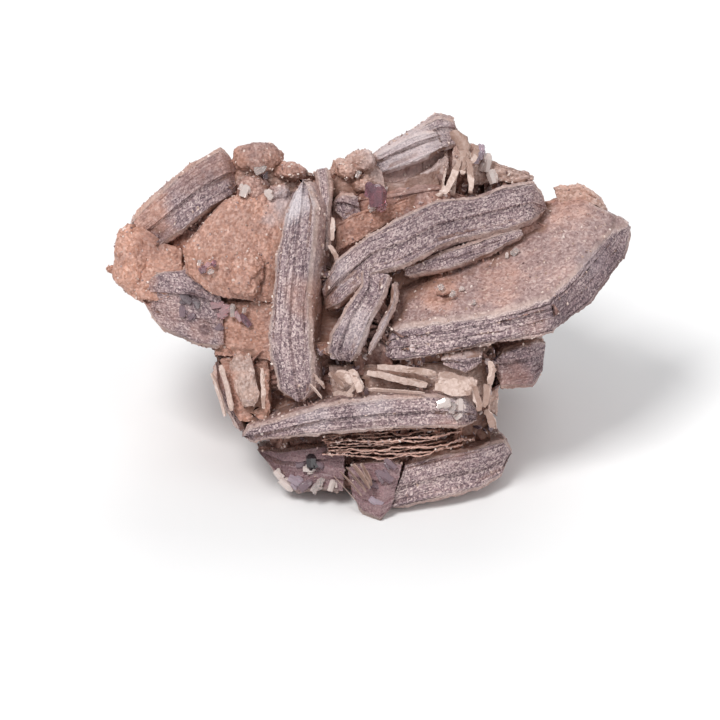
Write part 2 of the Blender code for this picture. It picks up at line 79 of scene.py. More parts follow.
FRONT_BOOKS = (
    Book("left_great_book", "layers", "three", (-0.05, 0.0, 1.0), (
        (12.5, 21.5, 14.8, 25.8, -4.2, 10.0),
        (15.0, 19.2, 17.4, 24.3, -2.6, 13.0),
        (19.0, 15.7, 20.6, 21.9, -2.0, 14.0),
        (21.9, 14.3, 23.3, 20.2, -3.0, 13.0),
        (23.4, 15.2, 24.2, 18.8, -4.8, 10.0),
    )),
    Book("left_end", "peach", "none", (0.0, 0.0, 1.0), (
        (10.9, 24.0, 11.2, 28.2, -6.0, 7.0),
        (11.6, 22.5, 12.6, 29.8, -4.6, 10.0),
        (13.6, 21.9, 13.9, 30.7, -3.6, 12.0),
        (16.4, 23.4, 16.2, 30.6, -2.9, 12.0),
        (18.8, 24.0, 18.8, 29.0, -2.2, 12.0),
    )),
    Book("left_low_book", "layers", "two", (0.0, 0.05, 1.0), (
        (13.7, 28.2, 13.9, 30.7, -4.4, 10.0),
        (15.5, 26.6, 16.1, 33.4, -3.0, 12.0),
        (19.0, 26.0, 19.8, 35.2, -2.0, 13.0),
        (22.4, 27.6, 22.6, 35.4, -1.9, 13.0),
    )),
    Book("peach_panel", "peach", "none", (0.0, 0.0, 1.0), (
        (22.6, 19.0, 29.6, 18.6, -2.2, 12.0),
        (19.6, 22.0, 30.2, 22.2, -1.0, 13.0),
        (17.6, 24.8, 30.0, 26.5, -0.4, 13.0),
        (18.0, 27.2, 29.8, 29.4, -0.5, 13.0),
        (20.6, 29.8, 28.0, 31.0, -1.2, 12.0),
    )),
    Book("waist", "peach", "none", (0.0, 0.0, 1.0), (
        (20.8, 30.0, 20.9, 36.2, -2.9, 12.0),
        (23.5, 29.4, 23.5, 36.0, -1.9, 12.0),
        (28.4, 29.4, 28.4, 37.0, -1.1, 12.0),
    )),
    Book("column_fill", "peach", "none", (0.0, 0.0, 1.0), (
        (21.5, 35.4, 22.4, 40.6, -3.0, 8.0),
        (23.6, 34.8, 24.0, 42.6, -2.2, 9.0),
        (27.6, 34.4, 27.6, 42.8, -1.6, 9.0),
    )),
    Book("cream_column", "crust", "none", (0.0, 0.0, 1.0), (
        (22.9, 34.6, 25.3, 34.8, -1.3, 8.0),
        (22.4, 36.6, 26.2, 37.2, -0.4, 9.0),
        (23.0, 39.2, 26.5, 39.2, -0.4, 9.0),
        (23.6, 41.3, 26.2, 41.5, -1.2, 8.0),
    )),
    Book("outer_plate", "layers", "two", (0.1, 0.0, 1.0), (
        (20.7, 36.3, 22.4, 35.8, -3.6, 9.0),
        (20.9, 38.4, 23.0, 38.4, -3.0, 10.0),
        (21.9, 40.8, 24.0, 41.0, -2.8, 10.0),
        (23.2, 43.3, 25.3, 43.2, -3.0, 9.0),
    )),
    Book("upright_book", "layers", "three", (0.28, 0.02, 0.96), (
        (28.8, 40.5, 31.0, 40.4, -0.2, 7.0),
        (27.1, 39.0, 31.8, 38.2, 1.0, 10.0),
        (26.1, 33.7, 31.5, 34.1, 2.0, 12.0),
        (26.5, 30.0, 31.3, 30.0, 2.2, 12.0),
        (27.0, 25.5, 31.8, 24.8, 2.0, 12.0),
        (27.9, 21.2, 32.0, 20.5, 1.0, 11.0),
        (29.0, 18.8, 31.3, 18.4, -0.4, 9.0),
        (29.5, 17.8, 30.8, 17.6, -1.2, 8.0),
    )),
    Book("rear_book_end", "layers", "none", (0.0, 0.0, 1.0), (
        (31.0, 16.7, 33.3, 16.4, -3.2, 8.0),
        (31.2, 18.6, 33.6, 18.6, -2.6, 9.0),
        (31.8, 21.5, 33.4, 21.5, -1.8, 9.0),
        (31.8, 25.5, 33.3, 24.9, -1.4, 9.0),
    )),
    Book("crossing_book", "layers", "three", (0.05, -0.1, 1.0), (
        (31.8, 28.3, 32.4, 31.8, -1.0, 8.0),
        (33.6, 25.3, 34.0, 31.0, 0.6, 11.0),
        (36.8, 22.9, 37.2, 27.9, 0.8, 13.0),
        (40.5, 20.8, 40.8, 27.0, 0.2, 13.0),
        (43.7, 19.3, 43.9, 25.3, -1.1, 12.0),
        (47.5, 18.9, 47.5, 24.0, -3.0, 12.0),
        (50.3, 17.9, 50.5, 23.5, -4.3, 12.0),
        (53.5, 17.5, 53.2, 22.6, -5.6, 10.0),
        (55.2, 19.6, 54.8, 21.4, -8.0, 6.0),
    )),
    Book("under_band", "layers", "none", (0.05, 0.0, 1.0), (
        (40.0, 26.2, 40.2, 28.4, -1.6, 10.0),
        (44.8, 24.4, 44.8, 27.4, -2.3, 10.0),
        (49.2, 23.0, 49.2, 25.8, -3.8, 10.0),
        (52.5, 22.0, 53.0, 24.1, -5.4, 9.0),
    )),
    Book("branch_book", "layers", "two", (0.1, 0.0, 1.0), (
        (35.5, 26.5, 39.5, 27.4, 0.6, 8.0),
        (35.6, 28.2, 38.8, 29.8, 1.6, 8.0),
        (34.0, 30.6, 37.5, 32.2, 2.2, 8.0),
        (32.5, 33.4, 37.0, 33.9, 2.2, 8.0),
        (32.2, 35.2, 36.3, 35.4, 1.6, 7.0),
        (33.2, 36.1, 35.8, 36.5, 0.8, 6.0),
    )),
    Book("thin_blade", "layers", "none", (0.0, 0.0, 1.0), (
        (38.6, 28.0, 40.4, 28.0, 0.1, 6.0),
        (38.5, 30.2, 40.3, 30.0, 1.2, 6.0),
        (37.1, 33.6, 38.9, 33.0, 1.6, 6.0),
        (36.3, 35.7, 37.5, 35.4, 1.0, 5.0),
    )),
    Book("great_slab", "slab", "steps", (0.08, 0.62, 0.78), (
        (37.7, 34.9, 37.8, 36.4, -0.6, 8.0),
        (39.2, 32.7, 39.2, 37.4, 1.0, 13.0),
        (43.2, 32.0, 44.4, 36.9, 2.2, 16.0),
        (49.7, 31.3, 49.7, 35.6, 2.8, 18.0),
        (54.8, 29.6, 55.2, 34.6, 2.2, 18.0),
        (57.4, 26.8, 59.2, 31.6, -0.8, 13.5),
        (60.5, 23.4, 62.8, 27.1, -5.6, 5.5),
        (62.9, 21.7, 63.9, 23.6, -9.0, 1.2),
    )),
    Book("slab_ledge", "crust", "none", (0.05, 0.3, 0.95), (
        (55.0, 18.4, 56.3, 21.6, -9.9, 2.6),
        (58.2, 18.0, 58.8, 21.6, -9.9, 3.0),
        (60.3, 19.2, 60.6, 22.4, -9.5, 2.6),
        (61.6, 20.3, 61.8, 22.6, -9.1, 1.6),
    )),
    Book("slab_foot", "slab", "two", (0.08, 0.62, 0.78), (
        (43.4, 35.4, 44.2, 37.4, 1.3, 6.0),
        (46.2, 35.4, 46.6, 38.3, 1.7, 7.0),
        (48.6, 35.0, 48.3, 37.3, 1.3, 6.0),
    )),
    Book("tucked_book", "layers", "two", (0.0, 0.1, 1.0), (
        (49.2, 35.2, 49.5, 38.2, -0.7, 10.0),
        (50.2, 34.6, 50.0, 39.4, 0.2, 11.0),
        (53.2, 33.6, 53.3, 39.2, 0.2, 11.0),
        (54.8, 33.6, 54.5, 37.8, -1.4, 9.0),
    )),
    Book("front_book", "layers", "three", (0.0, 0.22, 0.97), (
        (23.8, 43.0, 24.1, 44.6, -1.8, 8.0),
        (25.1, 42.2, 25.7, 45.0, -0.2, 10.0),
        (32.0, 40.1, 32.0, 44.1, 1.4, 12.0),
        (38.0, 39.5, 38.0, 43.5, 2.0, 12.0),
        (43.3, 39.0, 43.3, 43.4, 1.6, 12.0),
        (46.5, 39.3, 46.3, 43.4, 0.6, 11.0),
        (47.9, 40.4, 48.0, 43.0, -1.2, 8.0),
    )),
    Book("sheet_stack", "sheets", "steps", (0.0, 0.1, 1.0), (
        (31.8, 43.6, 32.1, 45.6, -0.4, 9.0),
        (38.0, 43.0, 38.0, 46.0, 0.4, 10.0),
        (43.0, 42.8, 43.0, 45.6, 0.1, 10.0),
        (47.5, 42.4, 47.6, 44.6, -1.6, 9.0),
    )),
    Book("low_right_book", "layers", "three", (-0.08, 0.12, 0.99), (
        (40.4, 45.9, 38.6, 51.8, -0.9, 9.0),
        (44.1, 45.0, 43.8, 50.5, -1.6, 12.0),
        (48.2, 44.1, 47.8, 49.6, -2.8, 13.0),
        (50.6, 43.6, 50.3, 48.2, -4.6, 11.0),
        (51.9, 44.8, 51.2, 46.0, -7.4, 7.0),
    )),
    Book("purple_wedge", "glass", "two", (0.0, 0.1, 1.0), (
        (34.4, 46.0, 35.0, 50.3, -1.6, 9.0),
        (37.0, 45.5, 36.2, 52.0, -0.8, 10.0),
        (38.8, 45.5, 37.9, 52.6, 0.1, 10.0),
        (40.6, 45.5, 39.2, 51.5, -0.5, 9.0),
    )),
    Book("low_left_crystals", "glass", "two", (0.0, 0.1, 1.0), (
        (25.0, 44.3, 26.2, 46.0, -3.0, 7.0),
        (28.0, 44.6, 28.4, 49.0, -3.2, 9.0),
        (30.0, 44.2, 29.8, 49.9, -2.6, 10.0),
        (32.4, 44.0, 32.0, 49.4, -2.0, 10.0),
        (34.9, 44.3, 34.6, 49.9, -1.5, 10.0),
    )),
    Book("upper_book", "layers", "two", (0.05, 0.1, 1.0), (
        (36.3, 15.5, 37.5, 18.0, -6.8, 10.0),
        (38.6, 14.0, 40.1, 17.3, -6.0, 12.0),
        (41.0, 12.8, 43.0, 16.1, -5.9, 13.0),
        (43.7, 12.2, 45.0, 15.0, -6.6, 12.0),
    )),
    Book("upper_book_foot", "crust", "none", (0.0, 0.0, 1.0), (
        (37.0, 17.6, 38.6, 21.0, -6.6, 9.0),
        (40.0, 17.0, 41.2, 20.4, -6.6, 11.0),
        (43.0, 15.8, 43.6, 19.2, -6.6, 11.0),
        (45.3, 13.7, 45.8, 17.6, -7.4, 10.0),
    )),
    Book("upper_peak", "layers", "two", (0.0, 0.05, 1.0), (
        (38.8, 13.9, 40.4, 16.0, -7.4, 9.0),
        (41.6, 12.1, 42.8, 15.2, -6.9, 10.0),
        (43.7, 10.8, 44.8, 15.2, -7.0, 10.0),
        (45.4, 11.1, 45.8, 14.8, -7.8, 9.0),
        (46.3, 13.1, 46.4, 14.5, -9.0, 7.0),
    )),
    Book("striped_book", "layers", "two", (0.0, 0.0, 1.0), (
        (32.6, 19.4, 33.0, 21.4, -3.5, 8.0),
        (34.2, 18.6, 34.5, 22.6, -2.8, 9.0),
        (36.0, 19.0, 36.8, 23.6, -3.2, 8.0),
    )),
    Book("brown_mass", "crust", "none", (0.05, 0.0, 1.0), (
        (44.6, 13.4, 44.6, 19.4, -7.6, 10.0),
        (47.4, 13.4, 47.4, 19.2, -7.0, 11.0),
        (49.3, 15.4, 49.6, 18.6, -7.8, 10.0),
        (54.0, 16.7, 54.0, 18.4, -8.4, 8.0),
    )),
    Book("tan_mass", "crust", "none", (0.0, 0.0, 1.0), (
        (22.6, 15.2, 22.6, 19.8, -4.4, 9.0),
        (24.6, 14.0, 24.6, 20.4, -3.5, 10.0),
        (27.0, 14.6, 27.2, 20.8, -3.4, 10.0),
        (29.4, 16.1, 29.4, 20.8, -3.8, 9.0),
        (31.8, 16.6, 31.9, 20.2, -4.6, 8.0),
    )),
    Book("crust_mass", "crust", "none", (0.0, 0.0, 1.0), (
        (32.0, 16.8, 32.3, 20.0, -4.8, 8.0),
        (34.2, 15.3, 34.4, 20.4, -4.8, 9.0),
        (36.6, 14.9, 37.0, 21.2, -5.4, 9.0),
        (38.6, 16.2, 39.4, 21.4, -6.4, 9.0),
    )),
    Book("pink_fill", "peach", "none", (0.0, 0.0, 1.0), (
        (33.0, 22.2, 33.0, 26.4, -2.6, 6.0),
        (35.6, 20.6, 35.8, 24.6, -2.6, 7.0),
        (39.4, 19.4, 39.4, 22.6, -3.6, 7.0),
        (43.4, 17.8, 43.4, 21.0, -4.6, 7.0),
    )),
    Book("crevice_fill", "crust", "none", (0.0, 0.0, 1.0), (
        (32.4, 36.0, 32.6, 40.6, -1.2, 6.0),
        (37.0, 35.8, 37.0, 40.4, -0.5, 7.0),
        (43.0, 35.6, 43.0, 40.0, -0.2, 7.0),
        (48.4, 35.0, 48.4, 41.2, -0.8, 7.0),
        (50.6, 34.8, 50.2, 42.2, -2.2, 7.0),
    )),
)

BLADES = (
    Book("upper_blade_left", "blade", "none", (0.0, 0.0, 1.0), (
        (44.3, 16.2, 45.3, 16.3, -5.6, 3.0), (43.5, 19.8, 44.5, 19.9, -4.4, 4.0),
    )),
    Book("upper_blade_middle", "blade", "none", (0.0, 0.0, 1.0), (
        (45.6, 16.0, 46.5, 16.1, -5.4, 3.0), (44.8, 19.6, 45.7, 19.7, -4.3, 4.0),
    )),
    Book("upper_blade_right", "blade", "none", (0.0, 0.0, 1.0), (
        (46.5, 16.0, 47.4, 15.9, -5.6, 3.0), (46.6, 19.5, 47.6, 19.4, -4.5, 4.0),
    )),
    Book("crevice_blade_long", "blade", "none", (0.0, 0.1, 1.0), (
        (36.3, 36.8, 36.5, 37.7, 0.6, 5.0), (39.4, 37.2, 39.2, 38.2, 0.8, 5.0),
        (43.1, 38.0, 42.6, 38.9, 0.4, 5.0),
    )),
    Book("crevice_blade_short", "blade", "none", (0.0, 0.0, 1.0), (
        (34.7, 37.2, 35.9, 36.6, 0.2, 4.0), (36.0, 39.6, 36.9, 38.8, 1.0, 4.0),
    )),
    Book("crevice_column", "crust", "none", (0.0, 0.0, 1.0), (
        (48.6, 35.6, 49.9, 35.6, -0.2, 5.0), (48.3, 39.0, 49.8, 39.0, 0.3, 6.0),
        (48.2, 42.9, 49.6, 42.8, -1.4, 6.0),
    )),
)

LUMPS = (
    Lump("left_end_lump", 13.0, 25.7, -5.2, (2.5, 3.9, 2.2)),
    Lump("left_end_spur", 11.1, 26.9, -6.4, (1.0, 0.7, 1.6)),
    Lump("peach_bulge", 24.7, 27.4, -0.9, (2.1, 2.9, 1.2)),
    Lump("tan_lump_left", 25.8, 15.7, -4.7, (3.0, 2.1, 2.7)),
    Lump("tan_lump_right", 28.9, 17.1, -4.6, (2.4, 1.5, 2.4)),
    Lump("grey_lump", 25.3, 18.7, -3.4, (2.0, 1.7, 1.7)),
    Lump("small_brown_lump", 27.8, 19.2, -3.2, (1.4, 1.3, 1.6)),
    Lump("crust_lump_top", 35.9, 16.0, -6.4, (2.0, 1.6, 2.2)),
    Lump("crust_lump_left", 34.3, 16.8, -5.8, (1.8, 1.6, 1.9)),
    Lump("crust_lump_low", 36.2, 18.2, -5.9, (1.8, 1.5, 1.8)),
    Lump("slab_top_lump", 44.6, 29.2, -1.2, (1.5, 0.9, 1.6)),
    Lump("back_lump_left", 28.0, 22.5, -22.6, (2.6, 2.0, 2.4)),
    Lump("back_lump_right", 47.0, 24.5, -22.2, (2.2, 1.8, 2.4)),
    Lump("back_lump_low", 36.0, 33.5, -22.6, (2.4, 1.6, 2.2)),
)

# Back and side books: their middles are in mm from the middle of the sheet's foot
BACK_PLATES = (
    Plate("back_great_book", (-9.0, 32.6, 13.5), (0.9, 0.15, 0.42), (-0.35, 0.3, 0.88), 21.0, 11.0, 6.0),
    Plate("back_right_book", (9.5, 32.6, 11.0), (0.8, -0.2, -0.55), (0.5, 0.35, 0.75), 18.0, 11.0, 5.5),
    Plate("back_upright_book", (1.0, 35.6, 10.5), (0.1, 0.3, 0.95), (0.95, 0.15, -0.1), 17.0, 8.0, 5.0),
    Plate("back_low_book", (-5.0, 28.6, 3.5), (0.97, 0.2, -0.05), (0.0, -0.2, 0.97), 18.0, 12.0, 5.0),
    Plate("back_low_right_book", (6.0, 28.6, 3.6), (0.9, -0.4, 0.1), (0.1, -0.15, 0.97), 14.0, 11.0, 4.6),
    Plate("back_cross_book", (4.0, 30.6, 19.0), (0.85, 0.2, 0.15), (-0.2, 0.75, 0.6), 16.0, 9.0, 4.5),
    Plate("back_ridge_book", (-6.5, 28.6, 21.0), (0.9, -0.2, 0.1), (0.1, 0.6, 0.8), 13.0, 8.0, 4.0),
    Plate("back_small_book", (12.0, 29.1, 18.0), (0.7, 0.3, -0.5), (0.4, 0.5, 0.75), 12.0, 8.0, 3.6),
    Plate("back_corner_book", (-11.9, 28.7, 8.7), (0.5, 0.5, 0.75), (-0.8, 0.6, 0.1), 13.0, 7.0, 4.0),
    Plate("left_flank_book", (-11.6, 25.6, 13.6), (0.3, 0.85, 0.3), (-0.6, 0.3, 0.7), 14.0, 8.0, 4.5),
    Plate("right_flank_book", (13.5, 25.6, 11.0), (-0.2, 0.9, 0.25), (0.7, 0.1, 0.65), 14.0, 8.0, 4.5),
    Plate("back_middle_book", (0.2, 34.15, 17.5), (0.93, -0.1, 0.35), (-0.33, 0.25, 0.9), 22.0, 11.0, 4.4),
    Plate("back_slant_book", (-4.3, 33.6, 11.8), (0.75, 0.1, -0.65), (0.6, 0.2, 0.75), 17.0, 10.0, 4.0),
    Plate("back_side_book", (9.3, 33.1, 15.8), (0.7, -0.35, 0.6), (-0.5, 0.2, 0.8), 14.0, 10.0, 3.8),
    Plate("back_thin_book", (5.3, 34.5, 8.3), (0.2, 0.15, 0.95), (0.95, -0.2, 0.1), 12.0, 8.0, 2.6),
    Plate("back_left_book", (-10.3, 33.1, 16.2), (0.5, -0.2, 0.8), (-0.8, 0.3, 0.4), 13.0, 9.0, 3.6),
    Plate("back_foot_book", (-1.2, 31.3, 2.9), (0.95, 0.3, 0.05), (-0.05, -0.3, 0.95), 16.0, 9.0, 3.4),
    Plate("left_foot_book", (-10.2, 22.2, 5.3), (0.25, 0.9, -0.2), (0.5, 0.1, 0.85), 14.0, 9.0, 3.8),
    Plate("right_foot_book", (9.2, 21.3, 5.3), (-0.15, 0.95, -0.1), (-0.45, 0.05, 0.9), 14.0, 8.0, 3.8),
)
PLATE_STATIONS = ((-0.5, 0.42), (-0.3, 0.86), (0.0, 1.0), (0.3, 0.86), (0.5, 0.42))

# Thin cream blades: both ends are across, down and stand, and turn is about the length, in degrees
Blade = namedtuple("Blade", "name start end width thickness turn")
THIN_BLADES = (
    Blade("long_top", (36.4, 37.1, 1.1), (43.0, 38.6, 1.0), 1.5, 0.5, 25),
    Blade("long_under", (36.6, 38.9, 1.2), (42.8, 39.3, 1.2), 1.2, 0.3, 65),
    Blade("long_deep", (37.4, 36.6, 0.5), (44.0, 37.4, 0.6), 1.2, 0.4, 10),
    Blade("corner_wedge", (33.4, 37.0, 0.4), (36.4, 38.8, 1.1), 1.8, 0.6, 15),
    Blade("corner_upright", (35.0, 36.7, 0.6), (36.2, 39.4, 1.3), 1.4, 0.5, -20),
    Blade("corner_small", (32.8, 37.0, 0.2), (34.6, 38.9, 0.7), 1.1, 0.4, 50),
    Blade("corner_low", (33.0, 39.2, 0.4), (35.6, 39.6, 1.0), 1.0, 0.35, 40),
    Blade("corner_cross", (36.2, 37.8, 0.9), (34.6, 39.8, 1.1), 0.9, 0.35, -35),
    Blade("right_leaf", (43.2, 38.4, 1.0), (47.4, 38.9, 1.2), 2.6, 0.5, 12),
    Blade("right_leaf_back", (43.6, 37.4, 0.6), (48.0, 38.2, 0.7), 2.0, 0.4, -12),
    Blade("right_leaf_up", (47.0, 37.4, 0.8), (48.2, 41.4, 0.8), 1.5, 0.4, 25),
    Blade("column_upper", (49.2, 35.8, 0.2), (48.9, 38.8, 0.9), 1.3, 0.9, 10),
    Blade("column_middle", (48.8, 38.2, 0.8), (48.4, 41.0, 0.6), 1.2, 0.9, -10),
    Blade("column_lower", (48.5, 40.6, 0.4), (49.4, 43.0, -0.8), 1.3, 0.9, 20),
    Blade("column_twig", (49.2, 41.4, 0.0), (49.7, 43.2, -0.9), 0.8, 0.6, 40),
    Blade("drip_left", (46.2, 15.6, -4.8), (44.4, 19.6, -3.6), 1.1, 0.9, 10),
    Blade("drip_left_foot", (44.9, 18.4, -3.9), (43.6, 19.8, -3.8), 0.9, 0.7, 10),
    Blade("drip_right", (46.9, 15.2, -4.9), (47.2, 19.4, -3.7), 1.1, 0.9, -12),
    Blade("drip_middle", (46.4, 14.6, -5.4), (46.3, 17.6, -4.4), 1.4, 1.0, 0),
    Blade("drip_top", (45.4, 12.6, -6.2), (47.0, 16.0, -5.2), 1.9, 1.2, 20),
    Blade("drip_side", (47.9, 14.0, -6.0), (47.2, 16.4, -5.0), 1.2, 0.9, -25),
    Blade("fin_upper", (31.0, 37.0, 0.4), (32.8, 39.0, 0.9), 1.2, 0.35, 55),
    Blade("fin_lower", (30.8, 38.2, 0.6), (32.4, 40.0, 1.0), 1.0, 0.3, 70),
    Blade("fan_one", (34.4, 46.4, -0.2), (36.9, 49.4, 0.0), 1.4, 0.22, 72),
    Blade("fan_two", (35.2, 46.2, 0.0), (37.2, 49.2, 0.1), 1.4, 0.22, 66),
    Blade("fan_three", (36.0, 46.0, 0.1), (37.4, 48.8, 0.2), 1.4, 0.22, 60),
    Blade("fan_four", (33.8, 46.9, -0.4), (36.4, 49.8, -0.2), 1.4, 0.22, 78),
    Blade("fan_five", (33.2, 47.4, -0.7), (35.8, 50.3, -0.4), 1.4, 0.22, 84),
    Blade("left_edge_one", (21.0, 37.0, -2.6), (22.6, 42.0, -2.4), 1.4, 0.4, 60),
    Blade("left_edge_two", (22.0, 36.2, -2.4), (23.2, 41.4, -1.9), 1.3, 0.4, 45),
    Blade("groove_left", (26.2, 36.4, 0.0), (26.4, 41.2, 0.2), 0.9, 0.5, 15),
    Blade("gap_top", (32.9, 24.2, -1.2), (34.0, 26.6, -1.0), 0.8, 0.5, 20),
    Blade("gap_low", (33.4, 21.4, -1.6), (33.2, 24.4, -1.2), 0.9, 0.5, -15),
)

# Patches of other colour: where they lie on the sheet, how wide they are, how deep they reach, how strong. The
# pale patches are partly paler mineral and partly painted light, and the dark ones partly darker mica and partly
# painted shade.
Patch = namedtuple("Patch", "across down stand radius strength")
PATCHES = {
    "warm": (
        Patch(14.5, 21.5, -4, 3.2, 0.9), Patch(19.0, 16.5, -3, 3.4, 0.6), Patch(16.8, 31.4, -3, 2.6, 0.4), Patch(22.5, 16.0, -3, 2.6, 0.7),
        Patch(13.0, 29.5, -4, 3.2, 0.9), Patch(17.5, 25.0, -2, 2.6, 0.7), Patch(20.0, 33.0, -2, 1.8, 0.5),
        Patch(24.0, 33.6, -1, 2.6, 0.9), Patch(22.2, 38.0, -2, 1.7, 0.8), Patch(38.0, 17.5, -4, 4.0, 0.2), Patch(41.0, 14.5, -5, 4.0, 0.35),
        Patch(36.0, 15.5, -6, 3.0, 0.2), Patch(57.0, 19.0, -3, 4.0, 0.5), Patch(50.0, 28.0, -2, 3.0, 0.3),
        Patch(44.0, 29.0, -1, 2.5, 0.6), Patch(51.5, 38.0, -3, 2.5, 0.7), Patch(47.5, 13.0, -5, 3.0, 0.5),
        Patch(31.0, 30.0, -3, 3.0, 0.6), Patch(53.5, 32.6, 0, 1.8, 0.35), Patch(45.0, 44.0, -1, 3.0, 0.5),
        Patch(34.5, 18.0, -4, 2.5, 0.5), Patch(28.0, 16.5, -4, 2.5, 0.4),
    ),
    # Pale patches: paler mineral in places, and painted light on faces that catch the light.
    "pale": (
        Patch(28.9, 20.2, 1, 2.4, 1.0), Patch(48.8, 21.4, 2, 0.75, 1.0), Patch(45.6, 40.6, 2, 1.4, 0.6),
        Patch(27.0, 21.8, 1, 0.9, 0.7), Patch(41.0, 15.0, -5, 4.5, 0.85), Patch(36.5, 33.0, 2, 2.6, 0.4),
        Patch(31.4, 41.8, 2, 2.0, 0.3), Patch(37.2, 40.2, 2, 2.0, 0.3), Patch(33.0, 27.0, 2, 2.5, 0.3),
        Patch(59.5, 26.0, 0, 2.0, 0.35),
    ),
    # Dark patches: darker mica in places, and painted shade on faces turned away from the light.
    "dark": (
        Patch(53.0, 37.0, -3, 3.2, 0.9), Patch(61.5, 27.0, -2, 3.8, 1.0), Patch(57.8, 31.5, -1, 3.2, 0.9),
        Patch(15.0, 24.2, -4, 1.8, 0.5), Patch(18.8, 29.8, -2, 1.0, 0.9), Patch(20.4, 33.0, -2, 0.7, 0.9),
        Patch(19.0, 16.5, -3, 3.4, 0.3), Patch(17.5, 33.8, -3, 1.6, 0.6), Patch(46.5, 35.6, 1, 2.0, 0.4), Patch(62.0, 23.0, -3, 2.0, 0.3),
    ),
}

# Clear crystals: where they sit on the sheet, half width, stretch, lean in degrees and which glass
Gem = namedtuple("Gem", "across down radius stretch lean glass")
GEMS = (
    Gem(37.7, 19.5, 1.15, 1.0, 0, "wine"), Gem(38.2, 20.6, 0.40, 1.5, 60, "pink"),
    Gem(37.2, 20.7, 0.32, 1.3, 100, "clear"), Gem(20.3, 26.9, 0.37, 1.0, 0, "wine"),
    Gem(21.4, 26.3, 0.32, 1.0, 20, "wine"), Gem(20.8, 26.5, 0.25, 1.2, 50, "pink"),
    Gem(21.1, 27.2, 0.27, 1.2, 70, "clear"), Gem(19.9, 26.3, 0.25, 1.1, 10, "clear"),
    Gem(21.7, 30.5, 0.45, 1.5, 80, "pink"), Gem(22.6, 31.0, 0.52, 1.3, 60, "pink"),
    Gem(22.2, 31.5, 0.36, 1.6, 85, "pink"), Gem(23.2, 31.0, 0.40, 1.7, 0, "clear"),
    Gem(23.8, 31.6, 0.36, 1.6, -30, "pink"), Gem(24.5, 32.0, 0.45, 1.7, -40, "wine"),
    Gem(24.4, 31.0, 0.24, 1.2, 10, "clear"), Gem(21.9, 32.7, 0.36, 1.2, 30, "purple"),
    Gem(18.5, 29.8, 0.52, 1.4, -50, "smoky"), Gem(19.5, 30.3, 0.36, 1.7, -20, "smoky"),
    Gem(18.2, 31.1, 0.45, 1.3, 0, "purple"), Gem(19.1, 31.6, 0.32, 1.4, 40, "purple"),
    Gem(26.0, 16.9, 0.45, 1.4, 60, "clear"), Gem(26.5, 17.4, 0.32, 1.3, 0, "smoky"),
    Gem(24.4, 19.0, 0.54, 1.2, 20, "milky"), Gem(26.8, 19.4, 0.43, 1.3, -40, "milky"),
    Gem(47.7, 15.4, 0.58, 1.3, 5, "lilac"), Gem(48.2, 14.7, 0.43, 1.4, 30, "lilac"),
    Gem(48.9, 16.0, 0.65, 1.5, 10, "milky"), Gem(49.3, 17.4, 0.58, 1.3, -20, "milky"),
    Gem(31.1, 46.1, 0.68, 1.0, 0, "black"), Gem(30.1, 46.4, 0.40, 1.5, 70, "purple"),
    Gem(31.9, 46.5, 0.36, 1.4, 110, "purple"), Gem(30.9, 47.0, 0.40, 1.6, 90, "milky"),
    Gem(28.6, 48.6, 0.54, 1.6, 130, "milky"), Gem(29.6, 48.2, 0.58, 1.5, 120, "lilac"),
    Gem(30.6, 48.6, 0.50, 1.6, 50, "purple"), Gem(31.6, 48.8, 0.43, 1.4, 40, "clear"),
    Gem(32.1, 48.2, 0.32, 1.3, 10, "clear"), Gem(27.8, 47.6, 0.43, 1.4, 140, "milky"),
    Gem(33.2, 48.6, 0.40, 1.5, 20, "milky"), Gem(44.4, 40.3, 0.54, 1.3, 70, "milky"),
    Gem(45.3, 40.8, 0.47, 1.2, 20, "clear"), Gem(46.0, 40.4, 0.43, 1.5, 0, "milky"),
    Gem(45.8, 41.6, 0.36, 1.2, 50, "milky"), Gem(44.1, 28.7, 0.29, 1.1, 0, "clear"),
    Gem(45.3, 29.4, 0.30, 1.1, 40, "clear"), Gem(46.2, 28.9, 0.24, 1.2, 80, "milky"),
    Gem(51.6, 25.1, 0.36, 1.2, 30, "clear"), Gem(50.8, 25.4, 0.25, 1.1, 0, "milky"),
    Gem(47.4, 30.2, 0.24, 1.1, 0, "clear"), Gem(37.2, 48.4, 0.43, 1.9, -60, "purple"),
    Gem(38.4, 47.6, 0.50, 2.0, -60, "purple"), Gem(37.6, 50.2, 0.43, 1.8, -70, "lilac"),
    Gem(39.0, 46.4, 0.43, 1.7, -50, "purple"), Gem(35.8, 17.3, 0.29, 1.3, 30, "clear"),
)
GLASSES = {
    "wine": ((0.55, 0.32, 0.38), 0.78, 300.0), "pink": ((0.88, 0.58, 0.60), 0.65, 200.0),
    "clear": ((0.95, 0.84, 0.80), 0.7, 60.0), "purple": ((0.46, 0.33, 0.37), 0.6, 300.0),
    "smoky": ((0.36, 0.28, 0.30), 0.6, 300.0), "lilac": ((0.74, 0.60, 0.68), 0.6, 200.0),
    "milky": ((0.88, 0.75, 0.70), 0.35, 100.0), "black": ((0.035, 0.025, 0.03), 0.3, 2000.0),
}

# How many split sheets the stack under the front book has, and how much of each is sheet
SHEET_COUNT, SHEET_SHARE = 10, 0.8

# How finely a surface is sampled, in mm: along a book, across its layers, and into its depth
STEP_ALONG, STEP_STACK, STEP_DEPTH, STEP_DEPTH_MOST = 0.24, 0.115, 0.24, 0.8

# The rough ground between the books: how fine it is, and how deep it lies below the solid's surface, in mm
GROUND_GRID, GROUND_DEPTH, GROUND_ROUGHNESS, GROUND_LEAST = 0.42, 1.5, 0.5, 1.5

# How far from an edge a wall's relief still pulls the neighbouring face along, in mm
FADE_DEPTH, FADE_END, FADE_RIM = 2.0, 1.5, 0.9

# The relief of a striated wall, in mm: thick and thin layers, wavering, and fine cracks between layers
THICK_LAYER, THIN_LAYER = (0.4, 1.2), (0.12, 0.3)
THICK_DEPTH, THIN_DEPTH = 0.2, 0.1
WAVER_LENGTH = (2.0, 7.0)
CRACK_DEPTH, CRACK_WIDTH, CRACKS_PER_MM = 0.4, 0.06, 0.5

